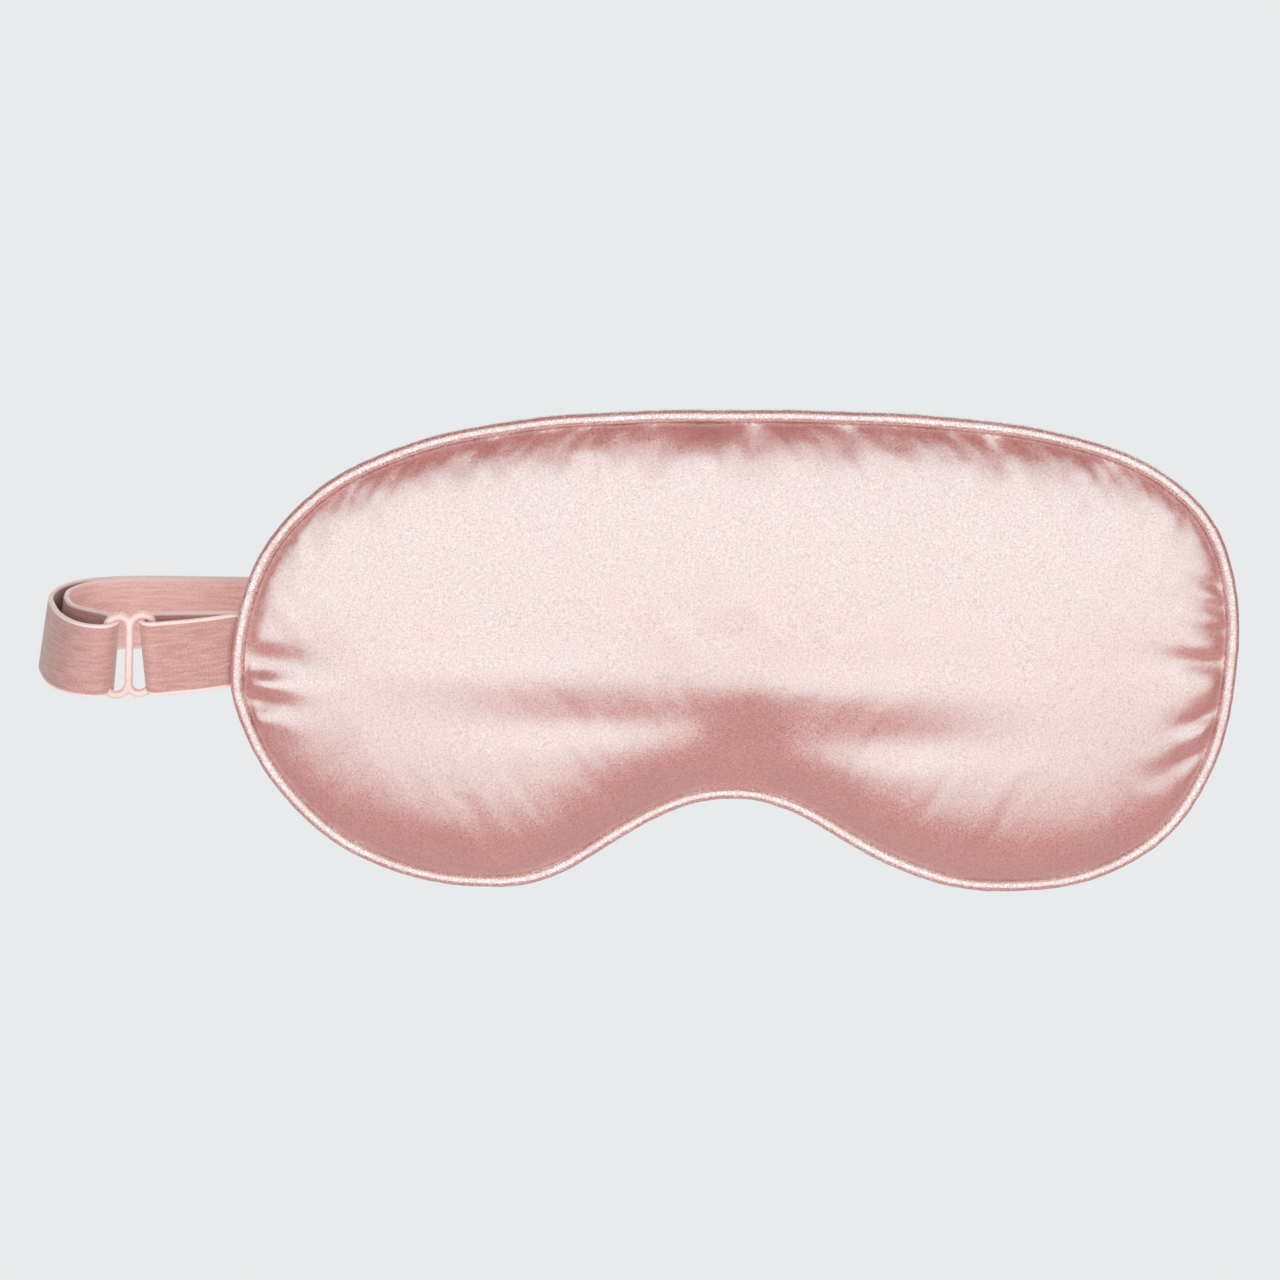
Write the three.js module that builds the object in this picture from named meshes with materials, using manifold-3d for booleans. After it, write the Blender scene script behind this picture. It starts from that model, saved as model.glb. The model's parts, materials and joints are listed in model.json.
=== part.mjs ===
// Sleep eye mask: a padded satin mask with corded piping, and an elastic strap with a ring and a slide.
// Millimetres, +Z up. The mask stands upright as it is worn: its face looks along -Y, the head is on
// its +Y side, and the origin is the middle of the back, where the mask rests on the face.

import * as THREE from 'three';
import { mergeVertices } from 'three/addons/utils/BufferGeometryUtils.js';
import Module from 'manifold-3d';

const wasm = await Module();
wasm.setup();

// ---------- driving dimensions ----------

// Outline of the mask at the outer edge of its piping, seen from the front. Each anchor is a place on
// the edge where it runs level or upright, and "before" and "after" are its Bezier handles, going round
// clockwise from the top.
const OUTLINE_WIDTH = 211;
const OUTLINE_HEIGHT = 106;
const TOP = { x: -3.5, z: 52.5, before: 51, after: 74 };
const RIGHT_SIDE = { z: 2.5, before: 44, after: 44 };
const RIGHT_LOBE = { x: 58, before: 25, after: 29 };
const NOSE_NOTCH = { x: 0.5, z: -32.5, before: 18, after: 22 };
const LEFT_LOBE = { x: -50, lift: 1, before: 20, after: 47.5 };
const LEFT_SIDE = { z: -8.5, before: 2, after: 55.5 };
const DOME_CENTRE_Z = 6;

const GAP = 0.3;                    // clear distance between pieces that touch on the real mask
const COVER_THICKNESS = 0.5;        // satin with its fusible backing
const FRONT_RISE = 9;               // padded front above the seam
const BACK_RISE = 5;                // padded back above the seam
const DOME_SHOULDER = 3.4;          // higher is flatter in the middle
const DOME_EDGE = 0.62;             // lower is rounder at the seam
const SEAM_ALLOWANCE = 5;
const LINING_THICKNESS = 0.4;

const PIPING_CORD_RADIUS = 0.65;
const PIPING_WALL = 0.3;
const PIPING_LEAF_GAP = 0.3;
const PIPING_FLANGE = 5;
const THREAD_RADIUS = 0.2;
const THREAD_INSET = 4;             // from the fold of the seam

const STRAP_WIDTH = 16;
const ELASTIC_THICKNESS = 1;
const LAYER_GAP = 0.4;              // between the two layers of the doubled strap
const NEAR_RUN_ANGLE = 12.5;        // degrees that the near run leans forward from the left seam
const TAB_LENGTH = 16;              // from the seam to the ring's bar
const LEFT_BAR_PLAY = 0.6;          // room round the ring's left bar, so that it can swivel
const BEND_REACH = 16.5;             // handles of the bend: how far the loop bulges to the left
const BEND_START = 3;               // from the ring's left bar to where the bend begins
const BEND_END_X = -128;
const FAR_RUN_Y = 24.5;             // behind the seam plane, between the strap's two layers
const FAR_RUN_STRAIGHT_END_X = 40;
const RIGHT_END_INSET = 4.5;        // from the mask's outer edge to the strap's sewn end
const RIGHT_END_LIFT = 1.9;         // from the back allowance's face to the strap's sewn end
const RIGHT_DROP_REACH = 18;        // how far before its end the strap starts to come forward
const RIGHT_DROP_Y = 15;            // height of the steep stretch above the right seam

const RING_WIRE = 1.5;
const RING_THICKNESS = 1.2;
const RING_BAR_SPACING = 4.8;       // from the middle bar to each outer bar
const RING_SIDE_ROOM = 0.4;         // beside the strap, inside a window
const RING_CORNER = 3;
const WINDOW_CORNER = 0.8;

const SLIDE_X = 14;
const SLIDE_WIRE = 1.5;
const SLIDE_BAR_SPACING = 6.5;
const END_LOOP_TAIL = 14;
const TACK_WIDTH = 2;
const TACK_THICKNESS = 0.5;

const PERIMETER_STEPS = 72;
const DOME_RINGS = 6;
const PIPING_STEPS = 7;
const CORD_SIDES = 6;
const THREAD_SIDES = 4;
const TURN_STEPS = 10;
const BEND_STEPS = 20;
const BAR_SIDES = 12;

// ---------- sizes that follow ----------

const outlineLeft = -OUTLINE_WIDTH / 2;
const outlineRight = OUTLINE_WIDTH / 2;
const lobeZ = TOP.z - OUTLINE_HEIGHT;
const pipingRadius = PIPING_CORD_RADIUS + GAP + PIPING_WALL;
const seamInset = 2 * pipingRadius + GAP;
const leafOuterY = PIPING_LEAF_GAP / 2 + PIPING_WALL;
const coverBase = leafOuterY + GAP;
const frontHeight = coverBase + FRONT_RISE;
const backHeight = coverBase + BACK_RISE;
const paddingInset = seamInset + SEAM_ALLOWANCE + 2 * GAP;
const layerOffset = (ELASTIC_THICKNESS + LAYER_GAP) / 2;
const halfElastic = ELASTIC_THICKNESS / 2;
const nearRun = THREE.MathUtils.degToRad(NEAR_RUN_ANGLE);
const ringHeight = STRAP_WIDTH + 2 * RING_SIDE_ROOM + 2 * RING_WIRE;
const ringWidth = 2 * RING_BAR_SPACING + RING_WIRE;
const ringBarReach = Math.hypot(RING_WIRE, RING_THICKNESS) / 2;

// ---------- materials ----------

const satin = (color) => new THREE.MeshStandardMaterial({ color, roughness: 0.35, metalness: 0 });
const elastic = (color) => new THREE.MeshStandardMaterial({ color, roughness: 0.85, metalness: 0 });
const plastic = (color) => new THREE.MeshStandardMaterial({ color, roughness: 0.3, metalness: 0 });
const fibre = (color) => new THREE.MeshStandardMaterial({ color, roughness: 0.95, metalness: 0 });

// ---------- helpers ----------

function named(name, geometry, material) {
  const mesh = new THREE.Mesh(geometry, material);
  mesh.name = name;
  return mesh;
}

// The outline as six Bezier stretches, in the plane seen from the front (x, z).
function outlineCurve() {
  const top = new THREE.Vector2(TOP.x, TOP.z);
  const right = new THREE.Vector2(outlineRight, RIGHT_SIDE.z);
  const rightLobe = new THREE.Vector2(RIGHT_LOBE.x, lobeZ);
  const notch = new THREE.Vector2(NOSE_NOTCH.x, NOSE_NOTCH.z);
  const leftLobe = new THREE.Vector2(LEFT_LOBE.x, lobeZ + LEFT_LOBE.lift);
  const left = new THREE.Vector2(outlineLeft, LEFT_SIDE.z);
  const shifted = (point, dx, dz) => new THREE.Vector2(point.x + dx, point.y + dz);
  const path = new THREE.CurvePath();
  const stretch = (a, b, c, d) => path.add(new THREE.CubicBezierCurve(a, b, c, d));
  stretch(top, shifted(top, TOP.after, 0), shifted(right, 0, RIGHT_SIDE.before), right);
  stretch(right, shifted(right, 0, -RIGHT_SIDE.after), shifted(rightLobe, RIGHT_LOBE.before, 0), rightLobe);
  stretch(rightLobe, shifted(rightLobe, -RIGHT_LOBE.after, 0), shifted(notch, NOSE_NOTCH.before, 0), notch);
  stretch(notch, shifted(notch, -NOSE_NOTCH.after, 0), shifted(leftLobe, LEFT_LOBE.before, 0), leftLobe);
  stretch(leftLobe, shifted(leftLobe, -LEFT_LOBE.after, 0), shifted(left, 0, -LEFT_SIDE.before), left);
  stretch(left, shifted(left, 0, LEFT_SIDE.after), shifted(top, -TOP.before, 0), top);
  return path;
}

// Points evenly spaced round the outline, moved inwards by the inset, as a closed loop (x, z).
const outlineSpots = outlineCurve().getSpacedPoints(PERIMETER_STEPS).slice(0, PERIMETER_STEPS);

function insetOutline(inset) {
  return outlineSpots.map((spot, i) => {
    const before = outlineSpots[(i + PERIMETER_STEPS - 1) % PERIMETER_STEPS];
    const after = outlineSpots[(i + 1) % PERIMETER_STEPS];
    const along = after.clone().sub(before).normalize();
    return new THREE.Vector2(spot.x + along.y * inset, spot.y - along.x * inset);
  });
}

// A closed mesh from loops of points that all have PERIMETER_STEPS points: neighbouring loops are
// joined by a band of triangles. A loop may be one point, which closes a cap. When "round" is true,
// the last loop is joined to the first, as round a tyre.
function loftLoops(loops, round) {
  const positions = [];
  const starts = loops.map((loop) => {
    const start = positions.length / 3;
    loop.forEach((point) => positions.push(point.x, point.y, point.z));
    return start;
  });
  const index = [];
  const bands = round ? loops.length : loops.length - 1;
  for (let band = 0; band < bands; band += 1) {
    const next = (band + 1) % loops.length;
    for (let i = 0; i < PERIMETER_STEPS; i += 1) {
      const j = (i + 1) % PERIMETER_STEPS;
      const a = starts[band] + (loops[band].length > 1 ? i : 0);
      const b = starts[band] + (loops[band].length > 1 ? j : 0);
      const c = starts[next] + (loops[next].length > 1 ? i : 0);
      const d = starts[next] + (loops[next].length > 1 ? j : 0);
      if (a !== b) index.push(a, b, c);
      if (c !== d) index.push(b, d, c);
    }
  }
  const geometry = new THREE.BufferGeometry();
  geometry.setAttribute('position', new THREE.Float32BufferAttribute(positions, 3));
  geometry.setIndex(index);
  return facingOut(geometry);
}

// Turns every triangle over if the mesh's signed volume says that it is inside out.
function facingOut(geometry) {
  const spots = geometry.getAttribute('position');
  const index = Array.from(geometry.getIndex().array);
  const corner = (k) => new THREE.Vector3().fromBufferAttribute(spots, index[k]);
  let volume = 0;
  for (let k = 0; k < index.length; k += 3) {
    volume += corner(k).dot(corner(k + 1).cross(corner(k + 2))) / 6;
  }
  if (volume < 0) geometry.setIndex(index.map((value, k) => index[k - (k % 3) + [0, 2, 1][k % 3]]));
  geometry.computeVertexNormals();
  return geometry;
}

// A section carried round the outline: each corner is (inset from the outer edge, height above the
// seam plane), and side is -1 for the front, +1 for the back.
function perimeterSweep(section, side) {
  const loops = section.map(([inset, height]) =>
    insetOutline(inset).map((spot) => new THREE.Vector3(spot.x, side * height, spot.y)));
  return loftLoops(loops, true);
}

// Height of a padded dome over the seam, as a share: 0 at the rim (share 1), 1 in the middle (share 0).
const domeShape = (share) => (1 - Math.min(share, 1) ** DOME_SHOULDER) ** DOME_EDGE;

// Height of a cover's outer face above the seam plane. At the rim it stands two thicknesses above the
// allowance's outer face: that is the fold.
function domeHeight(rise, share) {
  const fold = 2 * COVER_THICKNESS;
  return coverBase + fold + (rise - fold) * domeShape(share);
}

const centre = new THREE.Vector2(0, DOME_CENTRE_Z);

// One ring of a dome: the rim loop drawn towards the centre by "share", at the height that heightAt
// gives for its place between the centre and the seam.
function domeRing(rim, seam, share, side, heightAt) {
  return rim.map((spot, i) => {
    const reach = spot.distanceTo(centre) / seam[i].distanceTo(centre);
    const place = centre.clone().lerp(spot, share);
    return new THREE.Vector3(place.x, side * heightAt(share * reach), place.y);
  });
}

// The rings between the middle and the rim stand closer together towards the rim, where a dome is steepest.
const ringShares = Array.from({ length: DOME_RINGS - 1 }, (_, k) =>
  Math.sin((Math.PI / 2) * ((k + 1) / DOME_RINGS)));

const domeTop = (side, height) => [new THREE.Vector3(centre.x, side * height, centre.y)];

// ---------- the mask ----------

// A cover: a domed skin whose edge turns in at the seam and lies flat as its seam allowance.
function coverGeometry(side, rise) {
  const seam = insetOutline(seamInset);
  const innerSeam = insetOutline(seamInset + COVER_THICKNESS);
  const flat = (inset, height) =>
    insetOutline(inset).map((spot) => new THREE.Vector3(spot.x, side * height, spot.y));
  const outerHeight = (share) => domeHeight(rise, share);
  const innerHeight = (share) => domeHeight(rise, share) - COVER_THICKNESS;
  const outer = ringShares.map((share) => domeRing(seam, seam, share, side, outerHeight));
  const inner = ringShares.map((share) => domeRing(innerSeam, innerSeam, share, side, innerHeight));
  const loops = [
    domeTop(side, outerHeight(0)),
    ...outer,
    flat(seamInset, outerHeight(1)),
    flat(seamInset, coverBase),
    flat(seamInset + SEAM_ALLOWANCE, coverBase),
    flat(seamInset + SEAM_ALLOWANCE, coverBase + COVER_THICKNESS),
    flat(seamInset + COVER_THICKNESS, coverBase + COVER_THICKNESS),
    ...inner.reverse(),
    domeTop(side, innerHeight(0)),
  ];
  return loftLoops(loops, false);
}

// Wadding: fills one side of the mask between the lining and the cover, inside the allowances.
function waddingGeometry(side, rise) {
  const rim = insetOutline(paddingInset);
  const seam = insetOutline(seamInset + COVER_THICKNESS);
  const base = LINING_THICKNESS / 2 + GAP;
  const underCover = (share) => domeHeight(rise, share) - COVER_THICKNESS - GAP;
  const loops = [
    domeTop(side, underCover(0)),
    ...ringShares.map((share) => domeRing(rim, seam, share, side, underCover)),
    domeRing(rim, seam, 1, side, underCover),
    rim.map((spot) => new THREE.Vector3(spot.x, side * base, spot.y)),
    domeTop(side, base),
  ];
  return loftLoops(loops, false);
}

function liningGeometry() {
  const rim = insetOutline(paddingInset);
  const loops = [
    domeTop(-1, LINING_THICKNESS / 2),
    rim.map((spot) => new THREE.Vector3(spot.x, -LINING_THICKNESS / 2, spot.y)),
    rim.map((spot) => new THREE.Vector3(spot.x, LINING_THICKNESS / 2, spot.y)),
    domeTop(1, LINING_THICKNESS / 2),
  ];
  return loftLoops(loops, false);
}

// The piping's bias strip: folded round its cord, with two leaves that run into the seam.
function pipingSleeveGeometry() {
  const bore = PIPING_CORD_RADIUS + GAP;
  const flangeEnd = pipingRadius + bore + PIPING_FLANGE;
  const mouth = (radius, halfOpening) => Math.asin(halfOpening / radius);
  const arc = (radius, halfOpening) => {
    const open = mouth(radius, halfOpening);
    return Array.from({ length: PIPING_STEPS + 1 }, (_, k) => {
      const angle = open + (2 * Math.PI - 2 * open) * (k / PIPING_STEPS);
      return [pipingRadius + radius * Math.cos(angle), radius * Math.sin(angle)];
    });
  };
  const section = [
    [flangeEnd, leafOuterY],
    ...arc(pipingRadius, leafOuterY),
    [flangeEnd, -leafOuterY],
    [flangeEnd, -PIPING_LEAF_GAP / 2],
    ...arc(bore, PIPING_LEAF_GAP / 2).reverse(),
    [flangeEnd, PIPING_LEAF_GAP / 2],
  ];
  return perimeterSweep(section, 1);
}

function roundSection(inset, height, radius, steps) {
  return Array.from({ length: steps }, (_, k) => {
    const angle = (2 * Math.PI * k) / steps;
    return [inset + radius * Math.cos(angle), height + radius * Math.sin(angle)];
  });
}

const pipingCordGeometry = () =>
  perimeterSweep(roundSection(pipingRadius, 0, PIPING_CORD_RADIUS, CORD_SIDES), 1);

// A seam thread lies on a cover's allowance, inside the fold of the seam.
function seamThreadGeometry(side) {
  const height = coverBase + COVER_THICKNESS + GAP + THREAD_RADIUS;
  const section = roundSection(seamInset + THREAD_INSET, height, THREAD_RADIUS, THREAD_SIDES);
  return perimeterSweep(section, side);
}

// ---------- the strap ----------

// A band of elastic: its path is seen from above (x, y), and its width runs along Z.
function bandGeometry(path, thickness, width) {
  const sideways = path.map((point, i) => {
    const before = path[Math.max(i - 1, 0)];
    const after = path[Math.min(i + 1, path.length - 1)];
    const along = after.clone().sub(before).normalize();
    return new THREE.Vector2(-along.y, along.x).multiplyScalar(thickness / 2);
  });
  const left = path.map((point, i) => point.clone().add(sideways[i]));
  const right = path.map((point, i) => point.clone().sub(sideways[i]));
  const shape = new THREE.Shape([...left, ...right.reverse()]);
  const geometry = new THREE.ExtrudeGeometry(shape, { depth: width, bevelEnabled: false });
  geometry.translate(0, 0, -width / 2);
  return geometry;
}

// The path of a hairpin round an upright bar at barX: both legs end at endX, endSpread from the axis,
// and their last stretch runs along the axis.
function hairpinPath(barX, endX, radius, endSpread) {
  const away = Math.sign(barX - endX);
  const leadX = endX + away * ELASTIC_THICKNESS;
  const turn = Array.from({ length: TURN_STEPS + 1 }, (_, k) => {
    const angle = -Math.PI / 2 + (Math.PI * k) / TURN_STEPS;
    return new THREE.Vector2(barX + away * radius * Math.cos(angle), radius * Math.sin(angle));
  });
  return [
    new THREE.Vector2(endX, -endSpread),
    new THREE.Vector2(leadX, -endSpread),
    ...turn,
    new THREE.Vector2(leadX, endSpread),
    new THREE.Vector2(endX, endSpread),
  ];
}

// Place of a point of the near run in the mask's own frame: (distance to the left of the seam, sideways).
const tabRoot = new THREE.Vector2(outlineLeft - GAP, 0);
const ringRightBar = -TAB_LENGTH;
const ringLeftBar = -TAB_LENGTH - 2 * RING_BAR_SPACING;
const bendStart = ringLeftBar - BEND_START;
const nearPlace = (x, y) =>
  new THREE.Vector2(x, y).rotateAround(new THREE.Vector2(), nearRun).add(tabRoot);

function tabGeometry() {
  const radius = ringBarReach + GAP + halfElastic;
  return bandGeometry(hairpinPath(ringRightBar, 0, radius, layerOffset), ELASTIC_THICKNESS, STRAP_WIDTH);
}

function ringLoopGeometry() {
  const radius = ringBarReach + LEFT_BAR_PLAY + halfElastic;
  const path = hairpinPath(ringLeftBar, bendStart + GAP, radius, layerOffset);
  return bandGeometry(path, ELASTIC_THICKNESS, STRAP_WIDTH);
}

// A rectangle with round corners, centred on (x, 0).
function roundedRectangle(path, x, width, height, corner) {
  const halfWidth = width / 2;
  const halfHeight = height / 2;
  path.absarc(x + halfWidth - corner, halfHeight - corner, corner, 0, Math.PI / 2, false);
  path.absarc(x - halfWidth + corner, halfHeight - corner, corner, Math.PI / 2, Math.PI, false);
  path.absarc(x - halfWidth + corner, -halfHeight + corner, corner, Math.PI, 1.5 * Math.PI, false);
  path.absarc(x + halfWidth - corner, -halfHeight + corner, corner, 1.5 * Math.PI, 2 * Math.PI, false);
  path.closePath();
  return path;
}

// The ring: a flat figure of eight with two windows and a bar between them.
function ringGeometry() {
  const shape = roundedRectangle(new THREE.Shape(), 0, ringWidth, ringHeight, RING_CORNER);
  const windowWidth = RING_BAR_SPACING - RING_WIRE;
  const windowHeight = ringHeight - 2 * RING_WIRE;
  [-1, 1].forEach((side) => {
    const window = new THREE.Path();
    shape.holes.push(roundedRectangle(window, (side * RING_BAR_SPACING) / 2, windowWidth, windowHeight,
      WINDOW_CORNER));
  });
  const settings = { depth: RING_THICKNESS, bevelEnabled: false, curveSegments: 5 };
  const geometry = new THREE.ExtrudeGeometry(shape, settings);
  geometry.translate(0, 0, -RING_THICKNESS / 2);
  geometry.rotateX(Math.PI / 2);
  return geometry;
}

// The bend at the loop's left end, as one curve between the strap's two layers.
function bendCurve() {
  const start = nearPlace(bendStart, 0);
  const end = new THREE.Vector2(BEND_END_X, FAR_RUN_Y);
  const leave = nearPlace(bendStart - BEND_REACH, 0);
  const arrive = new THREE.Vector2(BEND_END_X - BEND_REACH, FAR_RUN_Y);
  return new THREE.CubicBezierCurve(start, leave, arrive, end);
}

// Points of a curve moved to its side: a positive distance is to the outside of the bend.
function besideCurve(curve, distance, steps) {
  return Array.from({ length: steps + 1 }, (_, k) => {
    const point = curve.getPointAt(k / steps);
    const along = curve.getTangentAt(k / steps);
    return new THREE.Vector2(point.x - along.y * distance, point.y + along.x * distance);
  });
}

// One layer of the bend: the outer layer stands outside the curve and the inner one inside it.
function bendGeometry(distance) {
  return bandGeometry(besideCurve(bendCurve(), distance, BEND_STEPS), ELASTIC_THICKNESS, STRAP_WIDTH);
}

const farOuterY = FAR_RUN_Y + layerOffset;
const farInnerY = FAR_RUN_Y - layerOffset;

// The single outer layer: straight behind the head, then forward to the right seam.
function farRunGeometry() {
  const end = new THREE.Vector2(outlineRight - RIGHT_END_INSET, coverBase + RIGHT_END_LIFT);
  const straightEnd = new THREE.Vector2(FAR_RUN_STRAIGHT_END_X, farOuterY);
  const curve = new THREE.CubicBezierCurve(
    straightEnd,
    new THREE.Vector2(end.x - RIGHT_DROP_REACH, farOuterY),
    new THREE.Vector2(end.x, RIGHT_DROP_Y),
    end,
  );
  const path = [new THREE.Vector2(BEND_END_X + GAP, farOuterY), ...curve.getPoints(BEND_STEPS)];
  return bandGeometry(path, ELASTIC_THICKNESS, STRAP_WIDTH);
}

// The slide's three upright bars: the outer two lie outside the strap and the middle one inside it.
const slideOuterY = farOuterY + halfElastic + GAP + SLIDE_WIRE / 2;
const endLoopRadius = SLIDE_WIRE / 2 + GAP + halfElastic;
const slideMiddleY = farOuterY - halfElastic - GAP - halfElastic - endLoopRadius;

function solidFrom(geometry) {
  const bare = geometry.clone();
  bare.deleteAttribute('normal');
  bare.deleteAttribute('uv');
  const merged = mergeVertices(bare, 1e-4);
  return new wasm.Manifold(new wasm.Mesh({
    numProp: 3,
    vertProperties: new Float32Array(merged.getAttribute('position').array),
    triVerts: new Uint32Array(merged.getIndex().array),
  }));
}

function geometryFrom(solid) {
  const mesh = solid.getMesh();
  const geometry = new THREE.BufferGeometry();
  geometry.setAttribute('position', new THREE.BufferAttribute(new Float32Array(mesh.vertProperties), 3));
  geometry.setIndex(Array.from(mesh.triVerts));
  geometry.computeVertexNormals();
  return geometry;
}

// The slide: two arched rails above and below the strap, joined by three upright bars.
function slideGeometry() {
  const railZ = (ringHeight - SLIDE_WIRE) / 2;
  const arch = new THREE.CubicBezierCurve(
    new THREE.Vector2(-SLIDE_BAR_SPACING, slideOuterY),
    new THREE.Vector2(-SLIDE_BAR_SPACING / 2, slideOuterY),
    new THREE.Vector2(-SLIDE_BAR_SPACING / 2, slideMiddleY),
    new THREE.Vector2(0, slideMiddleY),
  ).getPoints(TURN_STEPS);
  const mirrored = arch.slice(0, -1).reverse().map((point) => new THREE.Vector2(-point.x, point.y));
  const rail = bandGeometry([...arch, ...mirrored], SLIDE_WIRE, SLIDE_WIRE);
  const bar = new THREE.CylinderGeometry(SLIDE_WIRE / 2, SLIDE_WIRE / 2, ringHeight, BAR_SIDES);
  bar.rotateX(Math.PI / 2);
  const solid = [
    rail.clone().translate(0, 0, railZ),
    rail.clone().translate(0, 0, -railZ),
    bar.clone().translate(-SLIDE_BAR_SPACING, slideOuterY, 0),
    bar.clone().translate(0, slideMiddleY, 0),
    bar.clone().translate(SLIDE_BAR_SPACING, slideOuterY, 0),
  ].map(solidFrom).reduce((whole, piece) => whole.add(piece));
  return geometryFrom(solid);
}

// The strap's inner end: turned round the slide's middle bar and sewn down on itself.
function endLoopGeometry() {
  const path = hairpinPath(0, -END_LOOP_TAIL, endLoopRadius, endLoopRadius);
  return bandGeometry(path, ELASTIC_THICKNESS, STRAP_WIDTH);
}

// The inner layer between the bend and the end loop.
function innerRunGeometry() {
  const start = new THREE.Vector2(BEND_END_X + GAP, farInnerY);
  const end = new THREE.Vector2(SLIDE_X - END_LOOP_TAIL - GAP, slideMiddleY + endLoopRadius);
  const ease = Math.min(END_LOOP_TAIL, (end.x - start.x) / 3);
  const path = [start, new THREE.Vector2(end.x - ease, start.y), end];
  return bandGeometry(path, ELASTIC_THICKNESS, STRAP_WIDTH);
}

// ---------- assembly ----------

const group = new THREE.Group();
const mask = new THREE.Group();
mask.position.y = -backHeight;
group.add(mask);

mask.add(
  named('front_cover', coverGeometry(-1, FRONT_RISE), satin(0xe3c5c2)),
  named('back_cover', coverGeometry(1, BACK_RISE), satin(0xe0c0bd)),
  named('front_wadding', waddingGeometry(-1, FRONT_RISE), fibre(0xf2efea)),
  named('back_wadding', waddingGeometry(1, BACK_RISE), fibre(0xf2efea)),
  named('blackout_lining', liningGeometry(), fibre(0x2a2628)),
  named('piping_sleeve', pipingSleeveGeometry(), satin(0xe8cfcb)),
  named('piping_cord', pipingCordGeometry(), fibre(0xf4f1ec)),
  named('front_seam_thread', seamThreadGeometry(-1), fibre(0xe0b9b5)),
  named('back_seam_thread', seamThreadGeometry(1), fibre(0xe0b9b5)),
);

const nearGroup = new THREE.Group();
nearGroup.position.set(tabRoot.x, tabRoot.y, 0);
nearGroup.rotation.z = nearRun;
mask.add(nearGroup);

const ring = named('strap_ring', ringGeometry(), plastic(0xebd5d1));
ring.position.x = ringRightBar - RING_BAR_SPACING;
nearGroup.add(
  named('strap_tab', tabGeometry(), elastic(0xd4a49d)),
  named('strap_ring_loop', ringLoopGeometry(), elastic(0xd4a49d)),
  ring,
);

mask.add(
  named('strap_bend_outer', bendGeometry(layerOffset), elastic(0xd4a49d)),
  named('strap_bend_inner', bendGeometry(-layerOffset), elastic(0xd4a49d)),
  named('strap_far_run', farRunGeometry(), elastic(0xd4a49d)),
  named('strap_inner_run', innerRunGeometry(), elastic(0xd4a49d)),
);

const slideGroup = new THREE.Group();
slideGroup.position.x = SLIDE_X;
mask.add(slideGroup);

const endLoop = named('strap_end_loop', endLoopGeometry(), elastic(0xd4a49d));
endLoop.position.y = slideMiddleY;
const tackGeometry = new THREE.BoxGeometry(TACK_WIDTH, TACK_THICKNESS, STRAP_WIDTH);
const tack = named('end_loop_tack', tackGeometry, fibre(0xc98f8b));
tack.position.set(
  -END_LOOP_TAIL + TACK_WIDTH,
  slideMiddleY - endLoopRadius - halfElastic - GAP - TACK_THICKNESS / 2,
  0,
);
slideGroup.add(named('strap_slide', slideGeometry(), plastic(0xebd5d1)), endLoop, tack);

export default group;
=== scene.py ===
# %% [markdown]
# # A satin sleep mask with an elastic head strap
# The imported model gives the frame: which body each part moves with, and how big it is. This script
# adds the looks: inflated satin panels, a corded piping, ribbed elastic and moulded fittings.
# Everything is in metres, Z up, and the mask faces -Y.

# %% Load the frame
import json
import math

import bmesh
import bpy
import numpy as np
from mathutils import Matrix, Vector
from mathutils.geometry import delaunay_2d_cdt


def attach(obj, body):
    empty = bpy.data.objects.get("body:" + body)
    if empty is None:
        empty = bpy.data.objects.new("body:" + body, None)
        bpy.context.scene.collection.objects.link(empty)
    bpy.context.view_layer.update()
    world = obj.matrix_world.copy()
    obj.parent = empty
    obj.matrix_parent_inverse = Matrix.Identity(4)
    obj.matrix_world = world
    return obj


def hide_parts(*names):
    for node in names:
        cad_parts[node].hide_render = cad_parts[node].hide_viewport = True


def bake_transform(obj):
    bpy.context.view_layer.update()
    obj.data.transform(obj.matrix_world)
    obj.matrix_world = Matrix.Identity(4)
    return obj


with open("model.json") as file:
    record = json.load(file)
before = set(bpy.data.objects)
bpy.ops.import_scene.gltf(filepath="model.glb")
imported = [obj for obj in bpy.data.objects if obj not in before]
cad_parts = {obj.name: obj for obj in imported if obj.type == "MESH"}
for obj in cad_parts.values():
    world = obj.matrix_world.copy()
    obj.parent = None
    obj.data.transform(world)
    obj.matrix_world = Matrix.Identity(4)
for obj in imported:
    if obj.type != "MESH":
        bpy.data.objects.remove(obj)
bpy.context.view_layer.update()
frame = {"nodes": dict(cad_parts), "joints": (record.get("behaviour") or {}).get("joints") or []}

MM = 0.001

# %% [markdown]
# ## Small helpers
# A mesh comes from arrays of points and faces. Faces that came out inside out are turned over by the
# sign of the volume, which is the sum of each triangle's corner products.


# %% Mesh helpers
def new_mesh(name, points, faces, smooth=True):
    """An object at the origin from an (n, 3) array of points in metres and a list of faces."""
    mesh = bpy.data.meshes.new(name)
    mesh.from_pydata(np.asarray(points, float).tolist(), [], [list(map(int, face)) for face in faces])
    mesh.validate()
    mesh.polygons.foreach_set("use_smooth", [smooth] * len(mesh.polygons))
    piece = bpy.data.objects.new(name, mesh)
    bpy.context.scene.collection.objects.link(piece)
    face_out(piece)
    return piece


def face_out(piece):
    """Turns every face over if the closed mesh's volume is negative."""
    shell = bmesh.new()
    shell.from_mesh(piece.data)
    if shell.calc_volume(signed=True) < 0:
        bmesh.ops.reverse_faces(shell, faces=shell.faces)
    shell.to_mesh(piece.data)
    shell.free()


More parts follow.
